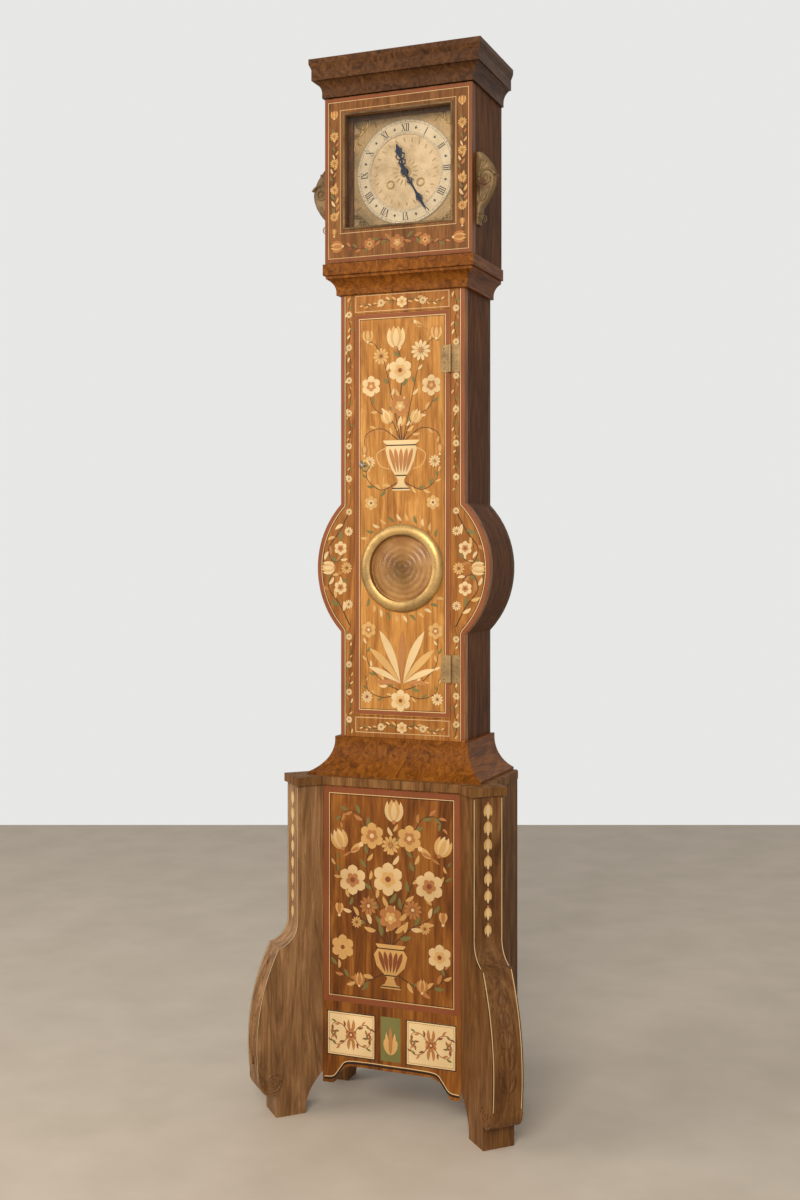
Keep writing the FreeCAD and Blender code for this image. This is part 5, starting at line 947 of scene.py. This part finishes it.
def carving_of_legs():
    """An acanthus leaf over each knee, and a spiral rib on both cheeks of each foot's volute."""
    for side, word in ((-1, "left"), (1, "right")):
        leaf = Panel(front_of_leg(side), rise=3.2, section=VEINED_SECTION)
        for height, spread, length in ((128, 1.0, 66), (170, 0.9, 70), (215, 0.8, 66), (258, 0.65, 58),
                (298, 0.5, 46)):
            for way in (-1, 1):
                leaf.leaf((0, height), UP + way * spread, length * 0.62, 13, HOLLY, bend=-way * 1.25,
                        widest=0.5, fullness=0.7, stations=13)
        leaf.leaf((0, 112), UP, 236, 15, HOLLY, widest=0.35, stations=31)
        # The acanthus and the volutes take their leg's veneer: painted light on the left leg, painted shade on
        # the right leg.
        leaf.piece("leg_acanthus_" + word, "case", "marquetry", LEG_GROUNDS_PAINTED_LIT_AND_SHADED[word], smooth=True)
        turns = np.linspace(0, 2.3 * CIRCLE, 110)
        radius = 30 * np.exp(-turns / 9.0) - 2.2
        groups = []
        for cheek in (-1, 1):
            reach = 79.5 + radius * np.cos(-turns + 0.2)
            height = 80.5 + radius * np.sin(-turns + 0.2)
            path = leg_point(side, reach, np.full(len(turns), cheek * (HALF_LEG + 0.2)), height)
            groups.append(tube(path, np.linspace(2.6, 1.3, len(turns)), 8))
        piece_of("leg_volutes_" + word, groups, "case", LEG_GROUNDS_PAINTED_LIT_AND_SHADED[word], smooth=True)


carving_of_legs()


# Carved consoles of the hood

def console_reach(z):
    """How far a console stands out from the hood's side at each height, through the points of its scroll."""
    height = [1947, 1958, 1970, 1985, 2000, 2016, 2032, 2046, 2062, 2078, 2092, 2104]
    reach = [6, 8, 10, 14, 27, 37, 43, 45, 43, 35, 24, 12]
    return np.interp(z, height, reach)


def carved_consoles():
    """Each console is a loft: at each height a half-round section, fluted, from the hood's side outwards."""
    low, high, wall, middle, half_depth = 1947, 2104, 175.0, 8.6, 13.4
    z = np.concatenate([[low], np.linspace(low, high, 80), [high]])
    angle = np.linspace(0, np.pi, 29)
    groups = []
    for side in (-1, 1):
        reach = console_reach(z)[:, None] * (1 - 0.055 * np.abs(np.sin(angle * 7))[None, :])
        out = reach * np.sin(angle)[None, :] ** 0.45
        back = middle - half_depth * np.cos(angle)[None, :] * np.ones_like(reach)
        out[[0, -1]] = 0.0
        back[[0, -1]] = middle
        points = np.stack([side * (wall + out), back, np.broadcast_to(z[:, None], out.shape)], -1)
        groups.append((points.reshape(-1, 3), grid_faces(len(z), len(angle), True)))
        for centre, size, turns, start, way in (
                ((196, 2046), 22.5, 2.4, 0.3, 1), ((184, 1962), 10.0, 1.9, 2.6, -1)):
            sweep = np.linspace(0, turns * CIRCLE, 90)
            radius = size * np.exp(-sweep / 7.5)
            for depth in (-4.2, 20.4):
                path = np.stack([side * (centre[0] + radius * np.cos(start + way * sweep)),
                        np.full(90, depth), centre[1] + radius * np.sin(start + way * sweep)], -1)
                groups.append(tube(path, np.linspace(size * 0.13, size * 0.07, 90), 8))
            button = [(0.0, -2.0), (size * 0.12, -1.8), (size * 0.2, -0.9), (size * 0.22, 0.4), (0.0, 0.4)]
            groups.append(lathe(button, (side * centre[0], -4.9, centre[1]), 20))
    consoles = piece_of("carved_consoles", groups, "hood", GILT, smooth=True)
    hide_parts("hood_consoles")
    leaves = []
    for side in (-1, 1):
        leaf = Panel(front_of(-4.6), rise=2.2, section=VEINED_SECTION)
        for root, turn, length, bend in (((182, 2000), 1.25, 34, 0.5), ((184, 1996), 0.6, 26, 0.9),
                ((180, 1992), 1.75, 26, -0.3), ((183, 2062), 1.2, 34, 0.4), ((186, 2070), 0.7, 24, 0.8)):
            angle_of = turn if side > 0 else math.pi - turn
            leaf.leaf((side * root[0], root[1]), angle_of, length, 9, HOLLY, bend=side * bend, stations=13)
        leaves.append(leaf.group())
    piece_of("console_leaves", leaves, "hood", GILT, smooth=True)


carved_consoles()


# The dial

def dial_panel(face, rise, section=FLAT_SECTION):
    """A panel in the plane of the dial, measured from its centre."""
    return Panel(front_of(face, DIAL_HEIGHT), rise, section)


def round_dial(across, outward, angle):
    """Where (x, z) a point lies, from its place across and along a line clockwise from twelve."""
    return (outward * math.sin(angle) + across * math.cos(angle),
            outward * math.cos(angle) - across * math.sin(angle))


# Each letter's width, and its strokes: from and to (across, share of the height), and half a thickness
STROKES = {
    "I": (4.6, [((0, 0), (0, 1), 1.15)]),
    "V": (10.0, [((-4.0, 1), (0, 0), 1.15), ((4.0, 1), (0, 0), 0.5)]),
    "X": (10.4, [((-4.0, 1), (4.0, 0), 1.15), ((4.0, 1), (-4.0, 0), 0.5)]),
}
HOURS = ("I", "II", "III", "IIII", "V", "VI", "VII", "VIII", "IX", "X", "XI", "XII")


def numerals():
    """Hour numerals, the minute track, quarter marks and half-hour marks, filled with black wax."""
    dial = dial_panel(RING_FACE, 0.12)

    def turned_line(first, second, angle, half):
        across, outward = np.linspace(first, second, 3).T
        dial.ribbon(np.stack(round_dial(across, outward, angle), -1), half, EBONY)

    foot, height = 91.5, 15.5
    for hour, word in enumerate(HOURS, 1):
        angle = CIRCLE * hour / 12
        total = sum(STROKES[letter][0] for letter in word)
        place = -total / 2
        for letter in word:
            width, strokes = STROKES[letter]
            middle = place + width / 2
            for (x0, t0), (x1, t1), half in strokes:
                turned_line((middle + x0, foot + height * t0), (middle + x1, foot + height * t1), angle, half)
            place += width
        for level in (foot - 0.4, foot + height + 0.4):
            turned_line((-total / 2 + 0.6, level), (total / 2 - 0.6, level), angle, 0.42)
        half_hour = angle + math.pi / 12
        for turn in (-0.5, 0.0, 0.5):
            root = (96 * math.sin(half_hour), 96 * math.cos(half_hour))
            dial.leaf(root, UP - half_hour + turn, 8 if turn == 0 else 6, 2.2, EBONY)
    minutes_from, minutes_to, quarters_from, quarters_to, rim = 111.0, 115.4, 85.6, 88.6, 116.9
    for minute in range(60):
        half = 0.55 if minute % 5 == 0 else 0.22
        turned_line((0, minutes_from), (0, minutes_to), CIRCLE * minute / 60, half)
    for quarter in range(48):
        turned_line((0, quarters_from), (0, quarters_to), CIRCLE * quarter / 48, 0.22)
    turn = np.linspace(0, CIRCLE, 181)
    for radius, half in ((minutes_from, 0.25), (minutes_to, 0.25), (quarters_to, 0.22), (quarters_from, 0.22),
            (rim, 0.3)):
        dial.ribbon(np.stack([radius * np.sin(turn), radius * np.cos(turn)], -1), half, EBONY)
    dial.piece("dial_numerals", "case", "silvered", WAX_BLACK)


numerals()


def spandrels():
    """Cast corner pieces: scrolled leaves either side of a flower, with round relief."""
    corners = dial_panel(PLATE_FACE, 2.4, VEINED_SECTION)
    for sx in (-1, 1):
        for sz in (-1, 1):
            def turned(x, z):
                return (sx * x, sz * z)

            def aimed(angle):
                return math.atan2(sz * math.sin(angle), sx * math.cos(angle))
            hand = sx * sz
            for swap in (False, True):
                def at(x, z):
                    return turned(z, x) if swap else turned(x, z)

                def aim(angle):
                    return aimed(UP - angle) if swap else aimed(angle)
                spin = -hand if swap else hand
                corners.stem([at(100, 100), at(112, 88), at(121, 74), at(124, 58), at(119, 50), at(115, 56)],
                        3.4, HOLLY, 26)
                corners.leaf(at(106, 96), aim(-0.5), 22, 7, HOLLY, bend=spin * 0.9, stations=11)
                corners.leaf(at(112, 88), aim(0.15), 17, 6, HOLLY, bend=-spin * 0.5, stations=11)
                corners.leaf(at(118, 78), aim(-2.1), 15, 5.5, HOLLY, bend=-spin * 0.9, stations=11)
                corners.leaf(at(123, 64), aim(-1.2), 22, 6, HOLLY, bend=spin * 0.6, stations=11)
                corners.leaf(at(108, 108), aim(0.35), 18, 7, HOLLY, bend=spin * 0.5, stations=11)
            corners.leaf(turned(104, 104), aimed(math.pi / 4), 30, 10, HOLLY, stations=11)
            centre = np.array(turned(104, 104), float)
            for number in range(8):
                turn = CIRCLE * number / 8
                corners.leaf(centre, turn, 9, 4.6, HOLLY, widest=0.6, lift=0.8)
            corners.disc(centre, 2.6, HOLLY, lift=1.6)
    corners.piece("dial_spandrels", "case", "dial_brass", CAST_BRASS, smooth=True)
    rims = dial_panel(PLATE_FACE, 0.5, ROUND_SECTION)
    rims.box_line(-128, 128, -128, 128, 1.6, HOLLY)
    rims.piece("dial_edge_lines", "case", "dial_brass", CAST_BRASS)


spandrels()


def middle_of_dial():
    """The matted centre of the dial as a turned plate, rings round its holes, and a rosette."""
    radii = np.array([8.5, 8.5, 30.0, 55.0, 80.0, 83.4, 83.4, 8.5])
    depth = np.array([0.0, -0.5, -0.5, -0.5, -0.5, -0.4, 0.0, 0.0])
    plate = lathe(np.stack([radii, depth], -1), (0, PLATE_FACE, DIAL_HEIGHT), 96)
    piece_of("dial_centre_plate", [plate], "case", MATTED)
    groups = []
    for x, z, inner, outer in ((36, -26, 6.2, 10.5), (-36, -26, 6.2, 10.5), (0, 0, 9.4, 13.0)):
        for offset in (0.0, (outer - inner) * 0.5):
            ring = inner + offset
            profile = [(ring, -0.3), (ring + 0.3, -1.3), (ring + 1.1, -1.5), (ring + 1.7, -1.1),
                    (ring + 1.8, -0.3)]
            groups.append(lathe(profile, (x, PLATE_FACE, DIAL_HEIGHT + z), 48))
    piece_of("winding_hole_rings", groups, "case", CAST_BRASS, smooth=True)
    rosette = dial_panel(PLATE_FACE - 0.5, 0.16)
    for count, radius, slant, length, width, bend in (
            (16, 17, 0.0, 15, 4.4, 0.0), (24, 66, 0.7, 13, 3.6, -0.8)):
        for number in range(count):
            turn = CIRCLE * number / count
            root = (radius * math.cos(turn), radius * math.sin(turn))
            rosette.leaf(root, turn + slant, length, width, EBONY, bend=bend)
    rosette.piece("dial_rosette", "case", "dial_brass", DIAL_BRASS)


middle_of_dial()


def hand_scrolls():
    """Openwork loops beside the hour hand and small leaves on the minute hand, in the hands' own planes."""
    def along_hand(face, angle):
        def lay(across, outward, level):
            return front_of(face, DIAL_HEIGHT)(*round_dial(across, outward, angle), level)
        return lay

    for name, body, face, angle, loops in (
            ("hour_hand_scrolls", "hour_hand", HOUR_HAND_FACE, math.radians(342.5),
             ((16, 30, 7.0), (30, 46, 9.5), (45, 56, 6.5))),
            ("minute_hand_scrolls", "minute_hand", MINUTE_HAND_FACE, math.radians(150),
             ((18, 32, 5.0), (62, 78, 5.5)))):
        hand = Panel(along_hand(face, angle), 0.75, ROUND_SECTION)
        for low, high, reach in loops:
            for side in (-1, 1):
                middle = (low + high) / 2
                hand.ribbon(smooth_line([(side * 1.0, low), (side * reach * 0.8, low + 2),
                        (side * reach, middle), (side * reach * 0.7, high - 1.5), (side * 1.0, high)], 24),
                        1.0, EBONY)
                hand.leaf((side * reach * 0.9, middle), UP + side * -0.9, 5, 2.2, EBONY)
        hand.piece(name, body, "blued_steel", BLUED, smooth=True)


hand_scrolls()


# Mouldings and metal fittings

def frames_and_fittings():
    """A gilt bead round the dial's sight, the escutcheon, hinge screws and beads round the sight hole."""
    bead = [(0.0, 0.6), (-0.4, -1.4), (-1.8, -2.6), (-3.6, -2.8), (-5.2, -1.8), (-6.0, 0.6)]
    frame_bead = mitred_frame(-HALF_SIGHT, HALF_SIGHT, DIAL_HEIGHT - HALF_SIGHT, DIAL_HEIGHT + HALF_SIGHT,
            bead, HOOD_DOOR_FACE)
    piece_of("hood_sight_bead", [frame_bead], "hood_door", GILT)

    angle = np.linspace(0, CIRCLE, 72, endpoint=False)
    outline = 11.5 * (1 + 0.12 * np.cos(4 * angle) + 0.22 * np.abs(np.sin(angle)) ** 3)
    hole = 3.4
    rows = []
    for share, depth in ((0.0, 0.3), (0.0, -0.9), (0.35, -1.5), (0.75, -1.4), (1.0, -0.8), (1.0, 0.3),
            (0.0, 0.3)):
        radius = hole + (outline - hole) * share
        rows.append(np.stack([KEYHOLE[0] + radius * np.cos(angle), np.full(72, TRUNK_FACE + depth),
                KEYHOLE[1] + radius * np.sin(angle)], -1))
    plate = np.concatenate(rows), grid_faces(len(rows), 72, True)
    piece_of("key_escutcheon", [plate], "trunk_door", BEZEL_BRASS, smooth=True)

    head = [(0.0, -0.9), (1.4, -0.75), (2.1, -0.2), (2.2, 0.3), (0.0, 0.3)]
    for name, body, x in (("hinge_screws_door", "trunk_door", 100.0), ("hinge_screws_case", "case", 129.0)):
        screws = [lathe(head, (x, TRUNK_FACE - 1.6, hinge + offset), 18)
                  for hinge in HINGES for offset in (-22.0, -7.5, 7.5, 22.0)]
        piece_of(name, screws, body, HINGE_BRASS, smooth=True)

    bead = [(0.0, -2.4), (1.6, -1.8), (2.4, -0.3), (2.2, 1.2), (0.0, 1.2)]
    circle = 93.0
    groups = []
    for number in range(72):
        turn = CIRCLE * number / 72
        centre = (circle * math.cos(turn), BEZEL_FACE, SWELLING_HEIGHT + circle * math.sin(turn))
        groups.append(lathe(bead, centre, 8))
    piece_of("lenticle_beads", groups, "trunk_door", BEZEL_BRASS, smooth=True)


frames_and_fittings()


# The lines of the weights

def gut_lines():
    """Each line as rods: barrel to seatboard, two falls from seatboard to pulley, and a half ring."""
    depth, spread, turn = 91.0, 36.0, 20.0
    barrel, seat, pulley, travel = 2058.0, 1971.0, 560.0, 1300.0
    for side, word in ((1, "going"), (-1, "strike")):
        near = side * spread - turn
        far = side * spread + turn
        above = tube([(near, depth, barrel), (near, depth, seat)], 1.0, 8)
        upper = piece_of(word + "_line_top", [above], "case", GUT, smooth=True)
        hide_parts(word + "_line")
        falls = [tube([(x, depth, seat), (x, depth, pulley)], 1.0, 8) for x in (near, far)]
        lower = piece_of(word + "_line_falls", falls, "case", GUT, smooth=True)
        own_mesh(lower)
        angle = np.linspace(np.pi, CIRCLE, 33)
        path = np.stack([side * spread + turn * np.cos(angle), np.full(33, depth),
                pulley + turn * np.sin(angle)], -1)
        piece_of(word + "_line_turn", [tube(path, 1.0, 8)], word + "_weight", GUT, smooth=True)


gut_lines()


# The floor, light and camera

def studio():
    """A pale floor that ends behind the clock, soft lamps and a camera at the photograph's angle."""
    mesh = bpy.data.meshes.new("floor")
    reach, front = 3.1, 0.173
    turn = math.radians(21)
    corners = np.array([(-reach, -reach), (reach, -reach), (reach, reach - 0.03), (-reach, reach - 0.03)])
    spin = np.array([[math.cos(turn), -math.sin(turn)], [math.sin(turn), math.cos(turn)]])
    corners = corners @ spin.T + np.array([0.0, front])
    mesh.from_pydata([(*corner, 0.0) for corner in corners.tolist()], [], [(0, 1, 2, 3)])
    floor = bpy.data.objects.new("floor", mesh)
    bpy.context.scene.collection.objects.link(floor)
    finish = Finish("pale_floor", Roughness=0.7)
    clouds = finish.noise(finish.place(), 5.0, 3.0)
    mesh.materials.append(finish.painted(
        Base_Color=finish.ramp(clouds, [(0.3, (0.52, 0.43, 0.325)), (0.7, (0.59, 0.49, 0.38))])))

    world = bpy.data.worlds.new("studio")
    world.use_nodes = True
    bpy.context.scene.world = world
    tree = world.node_tree
    tree.nodes.clear()

    def node(kind, *sources):
        made = tree.nodes.new("ShaderNode" + kind)
        for socket, source in zip(made.inputs, sources):
            if isinstance(source, (float, tuple)):
                socket.default_value = source
            else:
                tree.links.new(source, socket)
        return made

    rays = node("LightPath").outputs
    seen = node("Math", rays["Is Camera Ray"], rays["Is Glossy Ray"])
    through = node("Math", seen.outputs[0], rays["Is Transmission Ray"])
    seen.operation = through.operation = "MAXIMUM"
    fill = node("Background", (0.93, 0.96, 1.0, 1.0), 0.42)
    shown = node("Background", (0.80, 0.80, 0.785, 1.0), 1.0)
    blend = node("MixShader", through.outputs[0], fill.outputs[0], shown.outputs[0])
    node("OutputWorld", blend.outputs[0])

    def lamp(name, place, aim, size, power, colour):
        light = bpy.data.lights.new(name, "AREA")
        light.shape = "RECTANGLE"
        light.size, light.size_y = size
        light.energy = power
        light.color = colour
        holder = bpy.data.objects.new(name, light)
        bpy.context.scene.collection.objects.link(holder)
        way = np.array(aim, float) - np.array(place, float)
        way /= np.linalg.norm(way)
        holder.location = place
        holder.rotation_euler = (math.acos(-way[2]), 0.0, math.atan2(way[0], -way[1]) + math.pi)

    lamp("key", (0.9, -4.6, 3.1), (0, 0, 1.3), (2.4, 2.2), 205.0, (1.0, 0.97, 0.93))
    lamp("side", (-3.6, -2.6, 2.4), (0, 0, 1.1), (2.2, 2.4), 85.0, (1.0, 0.98, 0.95))

    camera = bpy.data.cameras.new("camera")
    sensor, pixels_high, focal_pixels = 36.0, 1200.0, 1404.0
    camera.sensor_width = sensor
    camera.lens = sensor * focal_pixels / pixels_high
    camera.shift_x = -30.2 / pixels_high
    camera.shift_y = -49.0 / pixels_high
    holder = bpy.data.objects.new("camera", camera)
    bpy.context.scene.collection.objects.link(holder)
    holder.location = (1.174, -2.885, 1.238)
    holder.rotation_euler = (UP, 0.0, turn)
    bpy.context.scene.camera = holder
    bpy.context.scene.view_settings.view_transform = "Standard"


studio()
